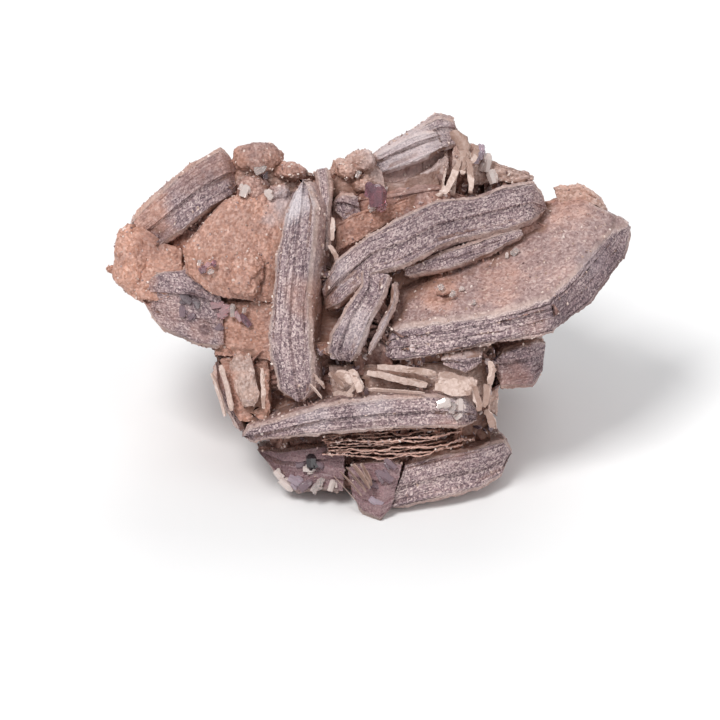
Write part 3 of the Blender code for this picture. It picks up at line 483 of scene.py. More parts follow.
# How worn the edges of a book are, in mm
ROUNDING, ROUNDED_WIDTH = 0.26, 0.34


def on_sheet(across, down, stand):
    """The place in mm of a point on the leaning sheet, brought forward by stand."""
    place = (across - SHEET_MIDDLE) * SHEET_RIGHT + (SHEET_FOOT - down) * SHEET_UP + stand * SHEET_OUT
    return place - np.array((0.0, BASE_MIDDLE_Y, 0.0))


def unit(vectors):
    lengths = np.linalg.norm(vectors, axis=-1, keepdims=True)
    return vectors / np.maximum(lengths, 1e-12)


def scrambled(x, y, z, seed):
    """A number from 0 to 1 for each whole-numbered place, the same on every run."""
    mixed = (x * 374761393 + y * 668265263 + z * 2147483629 + seed * 144665) & 0xFFFFFFFF
    mixed = ((mixed ^ (mixed >> 13)) * 1274126177) & 0xFFFFFFFF
    return ((mixed ^ (mixed >> 16)) & 0xFFFFFF) / float(0xFFFFFF)


def soft_noise(places, size, seed):
    """Smooth noise from 0 to 1, with bumps about as large as size."""
    scaled = places / size
    cell = np.floor(scaled).astype(np.int64)
    share = scaled - cell
    share = share * share * (3 - 2 * share)
    total = np.zeros(len(places))
    for corner in itertools.product((0, 1), repeat=3):
        weight = np.prod(np.where(np.array(corner) == 1, share, 1 - share), axis=1)
        x, y, z = (cell + np.array(corner)).T
        total += weight * scrambled(x, y, z, seed)
    return total


def grains(places, size, seed):
    """Rounded grains from 0 at their joints to 1 on their crowns, about as wide as size."""
    scaled = places / size
    cell = np.floor(scaled).astype(np.int64)
    nearest = np.full(len(places), 9.0)
    second = np.full(len(places), 9.0)
    for corner in itertools.product((-1, 0, 1), repeat=3):
        x, y, z = (cell + np.array(corner)).T
        seat = np.stack([x + scrambled(x, y, z, seed + k) for k in (0,)]
                        + [y + scrambled(x, y, z, seed + 1), z + scrambled(x, y, z, seed + 2)], axis=1)
        away = np.linalg.norm(scaled - seat, axis=1)
        second = np.minimum(second, np.maximum(nearest, away))
        nearest = np.minimum(nearest, away)
    return np.clip((second - nearest) * 1.6, 0, 1)


class Layers:
    """The stack of layers in one book: how far each one's edge lies back, along the whole edge."""

    def __init__(self, thickness, length, seed):
        self.random = np.random.default_rng(seed)
        self.seed = seed
        self.thick = self.stack(thickness, THICK_LAYER)
        self.thin = self.stack(thickness, THIN_LAYER)
        count = max(2, int(thickness * CRACKS_PER_MM))
        middles = self.random.uniform(0.0, length, count)
        reach = self.random.uniform(0.18, 0.6, count) * length
        self.cracks = list(zip(
            self.random.uniform(0.08, 0.92, count) * thickness, middles, reach,
            self.random.uniform(0.5, 1.0, count) * CRACK_DEPTH,
        ))

    def stack(self, thickness, span):
        edges = np.cumsum(self.random.uniform(*span, int(2 * thickness / span[0]) + 4))
        edges = edges[edges < thickness + 1.0]
        count = len(edges) + 2
        return {
            "edges": edges,
            "back": self.random.uniform(0, 1, count),
            "length": self.random.uniform(*WAVER_LENGTH, count),
            "phase": self.random.uniform(0, 2 * math.pi, count),
        }

    def depths(self, layers, place, height, most):
        index = np.searchsorted(layers["edges"], height)
        waver = np.sin(2 * math.pi * place / layers["length"][index] + layers["phase"][index])
        depth = most * np.clip(0.62 * layers["back"][index] + 0.19 + 0.19 * waver, 0, 1)
        return depth, layers["back"][index]

    def relief(self, place, height):
        """How far back the wall lies, how deep in a crack it is, and each layer's own shade."""
        flat = np.stack([place, place * 0, place * 0 + self.seed], axis=1)
        height = height + 0.16 * (soft_noise(flat, 2.1, self.seed) - 0.5)
        thick, thick_shade = self.depths(self.thick, place, height, THICK_DEPTH)
        thin, thin_shade = self.depths(self.thin, place, height, THIN_DEPTH)
        crack = np.zeros(len(place))
        for middle, at, reach, deep in self.cracks:
            line = middle + 0.1 * np.sin(place * 0.9 + middle * 5)
            inside = np.clip((reach / 2 - np.abs(place - at)) / 1.2, 0, 1)
            crack = np.maximum(crack, deep * inside * np.exp(-(((height - line) / CRACK_WIDTH) ** 2)))
        return thick + thin + crack, crack / CRACK_DEPTH, 0.55 * thick_shade + 0.45 * thin_shade


def along_samples(knots, step):
    """Places along a book, each station among them."""
    pieces = []
    for start, end in zip(knots, knots[1:]):
        pieces.append(np.linspace(start, end, max(1, round((end - start) / step)) + 1)[:-1])
    return np.concatenate(pieces + [knots[-1:]])


def depth_samples(depth, step, most):
    """Shares of the depth, close together at both faces and wider in the middle."""
    half, gap = [0.0], step
    while half[-1] + gap < depth / 2:
        half.append(half[-1] + gap)
        gap = min(gap * 1.07, most)
    half = np.array(half) / depth
    return np.concatenate([half, [0.5], 1 - half[::-1]])


def grid_faces(counts):
    """The index of each surface point of a block of counts points, and the quads between them."""
    nx, ny, nz = counts
    i, j, k = np.meshgrid(np.arange(nx), np.arange(ny), np.arange(nz), indexing="ij")
    shell = (i == 0) | (i == nx - 1) | (j == 0) | (j == ny - 1) | (k == 0) | (k == nz - 1)
    index = np.full(counts, -1, dtype=np.int64)
    index[shell] = np.arange(shell.sum())
    quads = []
    for axis in range(3):
        for end in (0, -1):
            sheet = np.take(index, end, axis=axis)
            corners = (sheet[:-1, :-1], sheet[1:, :-1], sheet[1:, 1:], sheet[:-1, 1:])
            if (end == 0) == (axis != 1):
                corners = corners[::-1]
            quads.append(np.stack([c.ravel() for c in corners], axis=1))
    return i[shell], j[shell], k[shell], np.concatenate(quads)


def ledge_back(shares, ledges):
    back = np.zeros(len(shares))
    for start, deep in LEDGES[ledges]:
        back = np.where(shares >= start, deep * LEDGE_DEPTH, back)
    return back


class Block:
    """The fine surface of one book: points in mm, quads, and what its material reads."""

    def __init__(self, edge_a, edge_b, away, depth, fineness=1.0):
        self.away = unit(np.asarray(away, float))
        middle = (edge_a + edge_b) / 2
        knots = np.concatenate(([0.0], np.cumsum(np.linalg.norm(np.diff(middle, axis=0), axis=1))))
        along = along_samples(knots, STEP_ALONG * fineness)
        spans = np.linalg.norm(edge_b - edge_a, axis=1)
        self.length, self.thickness = knots[-1], spans.max()
        stack = np.linspace(0, 1, max(3, round(self.thickness / (STEP_STACK * fineness))) + 1)
        into = depth_samples(depth.max(), STEP_DEPTH * fineness, STEP_DEPTH_MOST * fineness)
        i, j, k, self.quads = grid_faces((len(along), len(stack), len(into)))

        def spread(values):
            return np.stack([np.interp(along, knots, values[:, c]) for c in range(values.shape[1])], axis=1)

        side_a, side_b = spread(edge_a), spread(edge_b)
        deep = np.interp(along, knots, depth)
        run = unit(np.gradient((side_a + side_b) / 2, along, axis=0))
        self.share = stack[j]
        self.place = along[i]
        span = np.linalg.norm(side_b - side_a, axis=1)[i]
        self.height = (self.share - 0.5) * span + self.thickness / 2
        self.deep = deep[i]
        self.into = into[k] * self.deep
        self.run = run[i]
        self.up = unit(side_b - side_a)[i]
        self.rim = np.minimum(self.share, 1 - self.share) * span
        self.border = np.minimum(
            np.minimum(self.into, self.deep - self.into), np.minimum(self.place, self.length - self.place)
        )
        self.points = side_a[i] + (side_b - side_a)[i] * self.share[:, None] + self.away * self.into[:, None]
        self.seats = self.points
        self.front, self.rear = k == 0, k == len(into) - 1
        self.start, self.finish = i == 0, i == len(along) - 1
        self.low, self.high = j == 0, j == len(stack) - 1
        self.wall = np.where(self.low | self.high, 0.0, 1.0)
        self.groove = np.zeros(len(self.points))
        self.shade = np.full(len(self.points), 0.5)
        self.span = span

    def pull(self, direction, amount, distance, fade):
        """Moves the points in a direction, less the further they are from the face it is meant for."""
        weight = amount * np.clip(1 - distance / fade, 0, 1)
        self.points = self.points + direction * weight[:, None]

    def carve_layers(self, seed, ledges, strength=1.0, both_sides=False):
        layers = Layers(self.thickness, self.length, seed)
        side = Layers(self.thickness, self.deep.max(), seed)
        front, crack, shade = layers.relief(self.place, self.height)
        end, end_crack, end_shade = side.relief(self.into + 3.3, self.height)
        ledge = ledge_back(self.share, ledges)
        on_end = (self.start | self.finish) & ~(self.front | self.rear)
        broad = 0.34 * soft_noise(self.points, 3.8, seed) + 0.1 * soft_noise(self.points, 1.1, seed + 5)
        broad += ROUNDING * np.clip(1 - self.rim / ROUNDED_WIDTH, 0, 1) ** 2
        broad += 0.05 * (1 - grains(self.points, 0.3, seed + 9))
        slim = min(1.0, self.thickness / 3.6)
        front, end, broad = front * strength * slim, end * strength * slim, broad * slim
        self.groove = np.where(on_end, end_crack, crack)
        self.shade = np.where(on_end, end_shade, shade)
        self.pull(self.away, front + ledge + broad, self.into, FADE_DEPTH)
        rear = front + broad + (ledge if both_sides else 0)
        self.pull(-self.away, rear, self.deep - self.into, FADE_DEPTH)
        self.pull(self.run, end + broad, self.place, FADE_END)
        self.pull(-self.run, end + broad, self.length - self.place, FADE_END)

    def carve_split_faces(self, seed):
        """The faces across the layers: low steps where layers broke off, and a granular skin."""
        flat = np.stack([self.place, self.into, np.zeros(len(self.place))], axis=1)
        for side, direction, distance in (
            (0, self.up, self.share * self.span), (1, -self.up, (1 - self.share) * self.span),
        ):
            level = np.floor(4.2 * soft_noise(flat, 4.1, seed + 31 * side)) * 0.075
            skin = 0.12 * (1 - grains(self.points, 0.46, seed + 7)) + 0.07 * soft_noise(self.points, 0.27, seed)
            skin += 0.16 * soft_noise(self.points, 0.9, seed + 3)
            skin += ROUNDING * np.clip(1 - self.border / ROUNDED_WIDTH, 0, 1) ** 2
            skin += 0.24 * soft_noise(flat, 1.7, seed + 17 + side)
            self.pull(direction, level + skin, distance, FADE_RIM)

    def carve_chips(self, seed, most=0.3):
        """Small chips broken off the rims."""
        near = np.clip(1 - self.rim / 0.7, 0, 1)
        chip = np.clip(soft_noise(self.points, 0.8, seed + 11) - 0.52, 0, 1) * 2 * most
        self.pull(self.away, chip * near, self.into, 1.2)

    def carve_crust(self, seed, amount=1.0):
        """A lumpy granular skin on every face."""
        lumps = 0.5 * soft_noise(self.points, 2.6, seed) + 0.34 * soft_noise(self.points, 0.95, seed + 1)
        fine = 0.12 * (1 - grains(self.points, 0.42, seed + 2)) + 0.07 * soft_noise(self.points, 0.26, seed + 3)
        worn = np.minimum(self.rim, self.border)
        worn = 1.2 * ROUNDING * np.clip(1 - worn / 0.6, 0, 1) ** 2
        skin = amount * (np.maximum(lumps - 0.16, 0) + fine + worn)
        self.pull(self.away, skin, self.into, FADE_DEPTH)
        self.pull(-self.away, skin, self.deep - self.into, FADE_DEPTH)
        self.pull(self.run, skin, self.place, FADE_END)
        self.pull(-self.run, skin, self.length - self.place, FADE_END)
        self.pull(self.up, skin, self.share * self.span, FADE_RIM)
        self.pull(-self.up, skin, (1 - self.share) * self.span, FADE_RIM)
        self.wall[:] = 0.0
        self.groove = np.clip(0.5 - grains(self.points, 0.38, seed + 2), 0, 1)


def write_mesh(name, points, faces, attributes, crease=48):
    """A mesh object at the origin, with its points in mm turned to metres, faces out."""
    mesh = bpy.data.meshes.new(name)
    corners = points[faces[:, :3]]
    volume = np.einsum("ij,ij->i", corners[:, 0], np.cross(corners[:, 1], corners[:, 2])).sum()
    if volume < 0:
        faces = faces[:, ::-1]
    mesh.from_pydata((points * MM).tolist(), [], faces.tolist())
    for label, values in attributes.items():
        kind = "FLOAT_VECTOR" if values.ndim == 2 else "FLOAT"
        layer = mesh.attributes.new(label, kind, "POINT")
        layer.data.foreach_set("vector" if values.ndim == 2 else "value", values.astype(np.float32).ravel())
    mesh.shade_smooth()
    mesh.set_sharp_from_angle(angle=math.radians(crease))
    obj = bpy.data.objects.new(name, mesh)
    bpy.context.scene.collection.objects.link(obj)
    return obj


def cut_at_base(obj):
    """Cuts off what reaches below the flat base, and closes the cut."""
    lowest = min(vert.co.z for vert in obj.data.vertices)
    if lowest >= 0:
        return
    mesh = bmesh.new()
    mesh.from_mesh(obj.data)
    geometry = mesh.verts[:] + mesh.edges[:] + mesh.faces[:]
    cut = bmesh.ops.bisect_plane(
        mesh, geom=geometry, plane_co=(0, 0, 0), plane_no=(0, 0, 1), clear_inner=True
    )
    edges = [item for item in cut["geom_cut"] if isinstance(item, bmesh.types.BMEdge)]
    bmesh.ops.holes_fill(mesh, edges=edges, sides=0)
    mesh.to_mesh(obj.data)
    mesh.free()


def sheet_block(book, fineness=1.0):
    table = np.array(book.stations)
    edge_a = np.array([on_sheet(*row[:2], row[4]) for row in table])
    edge_b = np.array([on_sheet(*row[2:4], row[4]) for row in table])
    back = unit(np.array(book.back))
    away = back[0] * SHEET_RIGHT + back[1] * SHEET_UP - back[2] * SHEET_OUT
    return Block(edge_a, edge_b, away, table[:, 5], fineness)


def plate_block(plate, fineness=1.0):
    along = unit(np.array(plate.along))
    normal = np.array(plate.normal)
    normal = unit(normal - along * normal.dot(along))
    side = np.cross(along, normal)
    middle = np.array(plate.middle) - np.array((0, BASE_MIDDLE_Y, 0))
    places = np.array([place for place, narrow in PLATE_STATIONS])[:, None]
    reach = np.array([narrow for place, narrow in PLATE_STATIONS])[:, None] * plate.width / 2
    centres = middle + along * places * plate.length + side * reach
    half = normal * plate.thickness / 2
    return Block(centres - half, centres + half, -side, 2 * reach[:, 0], fineness)


def blade_block(blade):
    """A thin blade that narrows to both ends."""
    start, end = on_sheet(*blade.start), on_sheet(*blade.end)
    along = unit(end - start)
    out = unit(SHEET_OUT - along * SHEET_OUT.dot(along))
    turn = math.radians(blade.turn)
    face = out * math.cos(turn) + np.cross(along, out) * math.sin(turn)
    across = np.cross(along, face)
    random = np.random.default_rng(number_of(blade.name))
    places = np.linspace(0, 1, 9)[:, None]
    reach = (1 - 0.4 * np.abs(2 * places - 1) ** 3) * random.uniform(0.72, 1.0, (9, 1)) * blade.width / 2
    bow = (random.uniform(-0.1, 0.1) * np.sin(math.pi * places) + random.normal(0, 0.025, (9, 1))) * across
    centres = start + (end - start) * places + across * reach + bow * blade.width
    half = face * blade.thickness / 2 * random.uniform(0.75, 1.0, (9, 1))
    return Block(centres - half, centres + half, -across, 2 * reach[:, 0])


def split_sheets(book):
    """The same book as a stack of thin sheets with gaps between them, each a little further back."""
    random = np.random.default_rng(3)
    for number in range(SHEET_COUNT):
        low, high = number / SHEET_COUNT, (number + SHEET_SHARE) / SHEET_COUNT
        back = random.uniform(0.0, 0.9)
        rows = []
        last = len(book.stations) - 1
        ends = {0: random.uniform(0.0, 2.6), last: -random.uniform(0.0, 2.6)}
        for row, (ax, ay, bx, by, stand, depth) in enumerate(book.stations):
            ax, bx = ax + ends.get(row, 0.0), bx + ends.get(row, 0.0)
            rows.append((
                ax + (bx - ax) * low, ay + (by - ay) * low, ax + (bx - ax) * high, ay + (by - ay) * high,
                stand - back, depth - back,
            ))
        yield book._replace(name=f"{book.name}_{number}", ledges="none", stations=tuple(rows))


class Surroundings:
    """The whole cluster as a solid, to tell which points lie bare and which lie in a hollow."""

    def __init__(self, node):
        self.node = node
        mesh = node.data
        self.tree = BVHTree.FromPolygons(
            [vert.co[:] for vert in mesh.vertices], [poly.vertices[:] for poly in mesh.polygons]
        )
        golden = math.pi * (3 - math.sqrt(5))
        self.spread = [
            Vector((math.cos(golden * n) * r, math.sin(golden * n) * r, math.sqrt(1 - r * r)))
            for n, r in enumerate((0.0, 0.45, 0.5, 0.75, 0.8, 0.85, 0.9))
        ]

    def seat(self, across, down):
        """How far forward the surface stands at a place on the sheet, in mm, seen from the front."""
        start = Vector(on_sheet(across, down, 30.0)) * MM
        hit = self.tree.ray_cast(start, Vector(-SHEET_OUT), 0.08)
        return None if hit[0] is None else 30.0 - hit[3] / MM

    def hollow(self, obj, buried_at=0.8 * MM, lift=0.3 * MM, reach=5.0 * MM):
        """For each vertex how shut in it is, from 0 to 1, with 1 for those deep inside the solid."""
        mesh = obj.data
        seats = mesh.attributes["seat"].data if "seat" in mesh.attributes else None
        result = np.ones(len(mesh.vertices))
        for number, vert in enumerate(mesh.vertices):
            seat = seats[number].vector if seats else vert.co
            spot, facing, _, distance = self.tree.find_nearest(seat, buried_at)
            if spot is None:
                continue
            turn = facing.to_track_quat("Z", "Y")
            start = spot + facing * lift
            blocked = 0.0
            for direction in self.spread:
                hit = self.tree.ray_cast(start, turn @ direction, reach)
                if hit[0] is not None:
                    blocked += 1 - hit[3] / reach
            result[number] = min(1.0, blocked / len(self.spread) * 1.5)
        return result


def crumb_nodes(material, flakes):
    """Geometry nodes that strew small grains or flakes on a mesh, more where its grit is higher."""
    tree = bpy.data.node_groups.new("strewn_crumbs", "GeometryNodeTree")
    tree.interface.new_socket("Geometry", in_out="INPUT", socket_type="NodeSocketGeometry")
    density = tree.interface.new_socket("Crumbs per square metre", in_out="INPUT", socket_type="NodeSocketFloat")
    radius = tree.interface.new_socket("Crumb radius", in_out="INPUT", socket_type="NodeSocketFloat")
    seed = tree.interface.new_socket("Seed", in_out="INPUT", socket_type="NodeSocketInt")
    tree.interface.new_socket("Geometry", in_out="OUTPUT", socket_type="NodeSocketGeometry")

    def node(kind, **values):
        made = tree.nodes.new(kind)
        for key, value in values.items():
            setattr(made, key, value)
        return made

    start, end = node("NodeGroupInput"), node("NodeGroupOutput")
    grit = node("GeometryNodeInputNamedAttribute", data_type="FLOAT")
    grit.inputs["Name"].default_value = "grit"
    spread = node("GeometryNodeDistributePointsOnFaces", distribute_method="RANDOM")
    amount = node("ShaderNodeMath", operation="MULTIPLY")
    if flakes:
        grain = node("GeometryNodeMeshCylinder", fill_type="NGON")
        grain.inputs["Vertices"].default_value = 6
        grain.inputs["Depth"].default_value = 0.22 * MM
    else:
        grain = node("GeometryNodeMeshIcoSphere")
        grain.inputs["Subdivisions"].default_value = 1
    turn = node("FunctionNodeRandomValue", data_type="FLOAT_VECTOR")
    turn.inputs["Max"].default_value = (6.28, 6.28, 6.28)
    size = node("FunctionNodeRandomValue", data_type="FLOAT_VECTOR")
    size.inputs["Min"].default_value = (0.45, 0.45, 0.4)
    size.inputs["Max"].default_value = (1.5, 1.2, 1.0)
    place = node("GeometryNodeInstanceOnPoints")
    real = node("GeometryNodeRealizeInstances")
    paint = node("GeometryNodeSetMaterial")
    paint.inputs["Material"].default_value = material
    for source, target in (
        (start.outputs["Geometry"], spread.inputs["Mesh"]),
        (start.outputs["Crumbs per square metre"], amount.inputs[0]),
        (grit.outputs["Attribute"], amount.inputs[1]),
        (amount.outputs[0], spread.inputs["Density"]),
        (start.outputs["Seed"], spread.inputs["Seed"]),
        (start.outputs["Crumb radius"], grain.inputs["Radius"]),
        (spread.outputs["Points"], place.inputs["Points"]),
        (grain.outputs["Mesh"], place.inputs["Instance"]),
        (turn.outputs["Value"], place.inputs["Rotation"]),
        (size.outputs["Value"], place.inputs["Scale"]),
        (place.outputs["Instances"], real.inputs["Geometry"]),
        (real.outputs["Geometry"], paint.inputs["Geometry"]),
        (paint.outputs["Geometry"], end.inputs["Geometry"]),
    ):
        tree.links.new(source, target)
    return tree, (density.identifier, radius.identifier, seed.identifier)


def grit_of(mesh, crusty):
    """How many crumbs cling to each point: most in the hollows and on crusts, and few on bare walls."""
    count = len(mesh.vertices)
    read = {}
    for label in ("wall", "rim", "hollow"):
        read[label] = np.zeros(count, dtype=np.float32)
        mesh.attributes[label].data.foreach_get("value", read[label])
    places = np.zeros(3 * count, dtype=np.float32)
    mesh.vertices.foreach_get("co", places)
    places = places.reshape(-1, 3) / MM
    patches = np.clip((soft_noise(places, 2.3, 77) - 0.42) * 5, 0, 1)
    grit = 0.16 * (read["rim"] < 0.4) + crusty * (1 - read["wall"])
    grit += 1.1 * np.clip(read["hollow"] - 0.3, 0, 0.6)
    grit = np.clip(grit, 0, 1) * (0.25 + 0.75 * patches)
    grit[(read["hollow"] > 0.99) | (places[:, 2] < 1.3)] = 0
    return places, grit


def strew_crumbs(name, pieces, material, per_mm2, radius, seed, crusty, flakes=False):
    """Crumbs on several pieces at once, as one object."""
    points, faces, grit, first = [], [], [], 0
    for obj in pieces:
        places, amount = grit_of(obj.data, crusty)
        points.append(places)
        grit.append(amount)
        faces += [[first + corner for corner in poly.vertices] for poly in obj.data.polygons]
        first += len(places)
    mesh = bpy.data.meshes.new("crumb_bed")
    mesh.from_pydata((np.concatenate(points) * MM).tolist(), [], faces)
    layer = mesh.attributes.new("grit", "FLOAT", "POINT")
    layer.data.foreach_set("value", np.concatenate(grit).astype(np.float32))
    bed = bpy.data.objects.new("crumb_bed", mesh)
    bpy.context.scene.collection.objects.link(bed)
    tree, sockets = crumb_nodes(material, flakes)
    modifier = bed.modifiers.new("crumbs", "NODES")
    modifier.node_group = tree
    for socket, value in zip(sockets, (per_mm2 / MM**2, radius * MM, seed)):
        modifier[socket] = value
    bed.update_tag()
    graph = bpy.context.evaluated_depsgraph_get()
    data = bpy.data.meshes.new_from_object(bed.evaluated_get(graph))
    bpy.data.objects.remove(bed)
    data.name = name
    obj = bpy.data.objects.new(name, data)
    bpy.context.scene.collection.objects.link(obj)
    print(name, len(data.polygons))
    return obj


def crumb_finish(name, stops):
    """Grains that differ a little from each other."""
    finish = Finish(name)
    place = finish.node("ShaderNodeTexCoord").outputs["Object"]
    cells = finish.cell(place, 1700.0)
    red = finish.node("ShaderNodeSeparateColor", links={"Color": cells.outputs["Color"]}).outputs[0]
    finish.set(Base_Color=finish.ramp(red, stops), Roughness=0.4, IOR=1.54)
    return finish.material


def thin_hidden(obj, hollow):
    """Makes a mesh coarse where it lies buried inside the cluster."""
    hidden = np.flatnonzero(hollow > 0.999)
    if len(hidden) < 400:
        return
    group = obj.vertex_groups.new(name="hidden")
    group.add(hidden.tolist(), 1.0, "REPLACE")
    thin = obj.modifiers.new("thin_hidden", "DECIMATE")
    thin.vertex_group = group.name
    thin.ratio = 1 - 0.88 * len(hidden) / len(hollow)
    graph = bpy.context.evaluated_depsgraph_get()
    data = bpy.data.meshes.new_from_object(obj.evaluated_get(graph))
    obj.modifiers.clear()
    obj.vertex_groups.clear()
    full, obj.data = obj.data, data
    label = full.name
    bpy.data.meshes.remove(full)
    data.name = label


def add_float(obj, label, values):
    layer = obj.data.attributes.new(label, "FLOAT", "POINT")
    layer.data.foreach_set("value", values.astype(np.float32))


def add_patches(obj):
    """How strongly each patch of colour shows at each point, the pale ones partly painted light and the dark ones
    partly painted shade.
    """
    places = np.zeros(3 * len(obj.data.vertices), dtype=np.float32)
    obj.data.vertices.foreach_get("co", places)
    places = places.reshape(-1, 3) / MM
    ragged = 0.75 + 0.5 * soft_noise(places, 1.1, 8) + 0.3 * soft_noise(places, 0.4, 9)
    for label, patches in PATCHES.items():
        total = np.zeros(len(places))
        for patch in patches:
            apart = places - on_sheet(patch.across, patch.down, patch.stand)
            apart = np.stack([apart @ SHEET_RIGHT, apart @ SHEET_UP, 0.15 * (apart @ SHEET_OUT)], axis=1)
            away = np.linalg.norm(apart, axis=1)
            total = np.maximum(total, patch.strength * np.clip(2.0 - 1.6 * ragged * away / patch.radius, 0, 1))
        add_float(obj, label, total)


def number_of(name):
    """A whole number for a name, the same on every run."""
    return sum((k + 1) * ord(letter) for k, letter in enumerate(name)) % 9973


class Finish:
    """A material being built, with short calls for its nodes."""

    def __init__(self, name):
        self.material = bpy.data.materials.new(name)
        self.material.use_nodes = True
        self.tree = self.material.node_tree
        self.shader = self.tree.nodes["Principled BSDF"]
        self.out = self.tree.nodes["Material Output"]

    def node(self, kind, values=(), links=(), **settings):
        made = self.tree.nodes.new(kind)
        for key, value in settings.items():
            setattr(made, key, value)
        for key, value in dict(values).items():
            made.inputs[key].default_value = value
        for key, source in dict(links).items():
            self.tree.links.new(source, made.inputs[key])
        return made

    def attribute(self, label):
        return self.node("ShaderNodeAttribute", attribute_name=label)

    def maths(self, operation, first, second=0.0, clamp=False):
        made = self.node("ShaderNodeMath", operation=operation, use_clamp=clamp)
        for socket, value in zip(made.inputs, (first, second)):
            if isinstance(value, (int, float)):
                socket.default_value = value
            else:
                self.tree.links.new(value, socket)
        return made.outputs[0]

    def between(self, share, first, second, blend="MIX"):
        """A mix of two colours, each a colour or a socket."""
        made = self.node("ShaderNodeMix", data_type="RGBA", blend_type=blend, clamp_factor=True)
        for key, value in ((0, share), (6, first), (7, second)):
            if isinstance(value, (int, float, tuple)):
                made.inputs[key].default_value = value
            else:
                self.tree.links.new(value, made.inputs[key])
        return made.outputs[2]

    def ramp(self, source, stops, smooth=True):
        made = self.node("ShaderNodeValToRGB", links={"Fac": source})
        made.color_ramp.interpolation = "LINEAR" if smooth else "CONSTANT"
        elements = made.color_ramp.elements
        while len(elements) < len(stops):
            elements.new(0.5)
        for element, (position, colour) in zip(elements, stops):
            element.position = position
            element.color = (*colour, 1.0) if len(colour) == 3 else colour
        return made.outputs["Color"]

    def noise(self, vector, scale, detail=2.0, rough=0.5):
        return self.node(
            "ShaderNodeTexNoise", values={"Scale": scale, "Detail": detail, "Roughness": rough},
            links={"Vector": vector},
        )

    def set(self, **values):
        for key, value in values.items():
            socket = self.shader.inputs[key.replace("_", " ")]
            if hasattr(value, "is_output"):
                self.tree.links.new(value, socket)
            else:
                socket.default_value = value

    def stretched(self, vector, scale):
        return self.node("ShaderNodeMapping", values={"Scale": scale}, links={"Vector": vector}).outputs[0]

    def cell(self, vector, scale=1.0):
        """One random colour for each small cell."""
        return self.node("ShaderNodeTexVoronoi", values={"Scale": scale}, links={"Vector": vector})

    def glitter(self, cells, amount):
        """The surface normal, tilted by a different amount in each cell, as on loose mica flakes."""
        geometry = self.node("ShaderNodeNewGeometry")
        centred = self.node(
            "ShaderNodeVectorMath", operation="SUBTRACT", values={1: (0.5, 0.5, 0.5)}, links={0: cells}
        )
        scaled = self.node(
            "ShaderNodeVectorMath", operation="SCALE", values={"Scale": amount}, links={0: centred.outputs[0]}
        )
        total = self.node(
            "ShaderNodeVectorMath", operation="ADD",
            links={0: geometry.outputs["Normal"], 1: scaled.outputs[0]},
        )
        return self.node("ShaderNodeVectorMath", operation="NORMALIZE", links={0: total.outputs[0]}).outputs[0]

    def bump(self, height, strength, distance, normal=None):
        links = {"Height": height}
        if normal is not None:
            links["Normal"] = normal
        made = self.node("ShaderNodeBump", values={"Strength": strength, "Distance": distance}, links=links)
        return made.outputs[0]


# Colours of the finishes
WALL_GRAINS = (
    (0.0, (0.09, 0.055, 0.068)), (0.22, (0.17, 0.112, 0.128)), (0.45, (0.31, 0.218, 0.232)),
    (0.66, (0.49, 0.375, 0.375)), (0.9, (0.76, 0.63, 0.60)),
)
SPLIT_FACE_GRAINS = (
    (0.0, (0.17, 0.098, 0.092)), (0.3, (0.31, 0.198, 0.185)), (0.6, (0.44, 0.305, 0.285)),
    (1.0, (0.68, 0.54, 0.50)),
)
PEACH_GRAINS = (
    (0.0, (0.30, 0.13, 0.08)), (0.3, (0.51, 0.258, 0.18)), (0.6, (0.67, 0.378, 0.29)),
    (1.0, (0.83, 0.565, 0.46)),
)
CREAM_GRAINS = (
    (0.0, (0.36, 0.23, 0.18)), (0.3, (0.56, 0.40, 0.335)), (0.6, (0.70, 0.53, 0.465)), (1.0, (0.88, 0.76, 0.70)),
)
# Brown for the hollows: a real brown stain together with painted shade where a point is shut in by the cluster.
HOLLOW_STAIN_AND_SHADE_BROWN = (0.25, 0.125, 0.085, 1.0)
# Brown for the grooves: dark joints between grains, and painted shade in the carved layer cracks.
GROOVE_JOINT_AND_SHADE_BROWN = (0.15, 0.085, 0.075, 1.0)
# Cream for the rims: worn cream edges together with a painted highlight along the rims.
RIM_CREAM_AND_HIGHLIGHT = (0.62, 0.465, 0.405, 1.0)
# White for the pale patches: paler mineral together with painted light.
ICE_WHITE_AND_PAINTED_LIGHT = (0.72, 0.68, 0.72, 1.0)
# Tint for the dark patches: darker mica together with painted shade.
DARK_AND_SHADE_TINT = (0.52, 0.47, 0.50, 1.0)
GLASS_PURPLE = (0.38, 0.215, 0.235, 1.0)


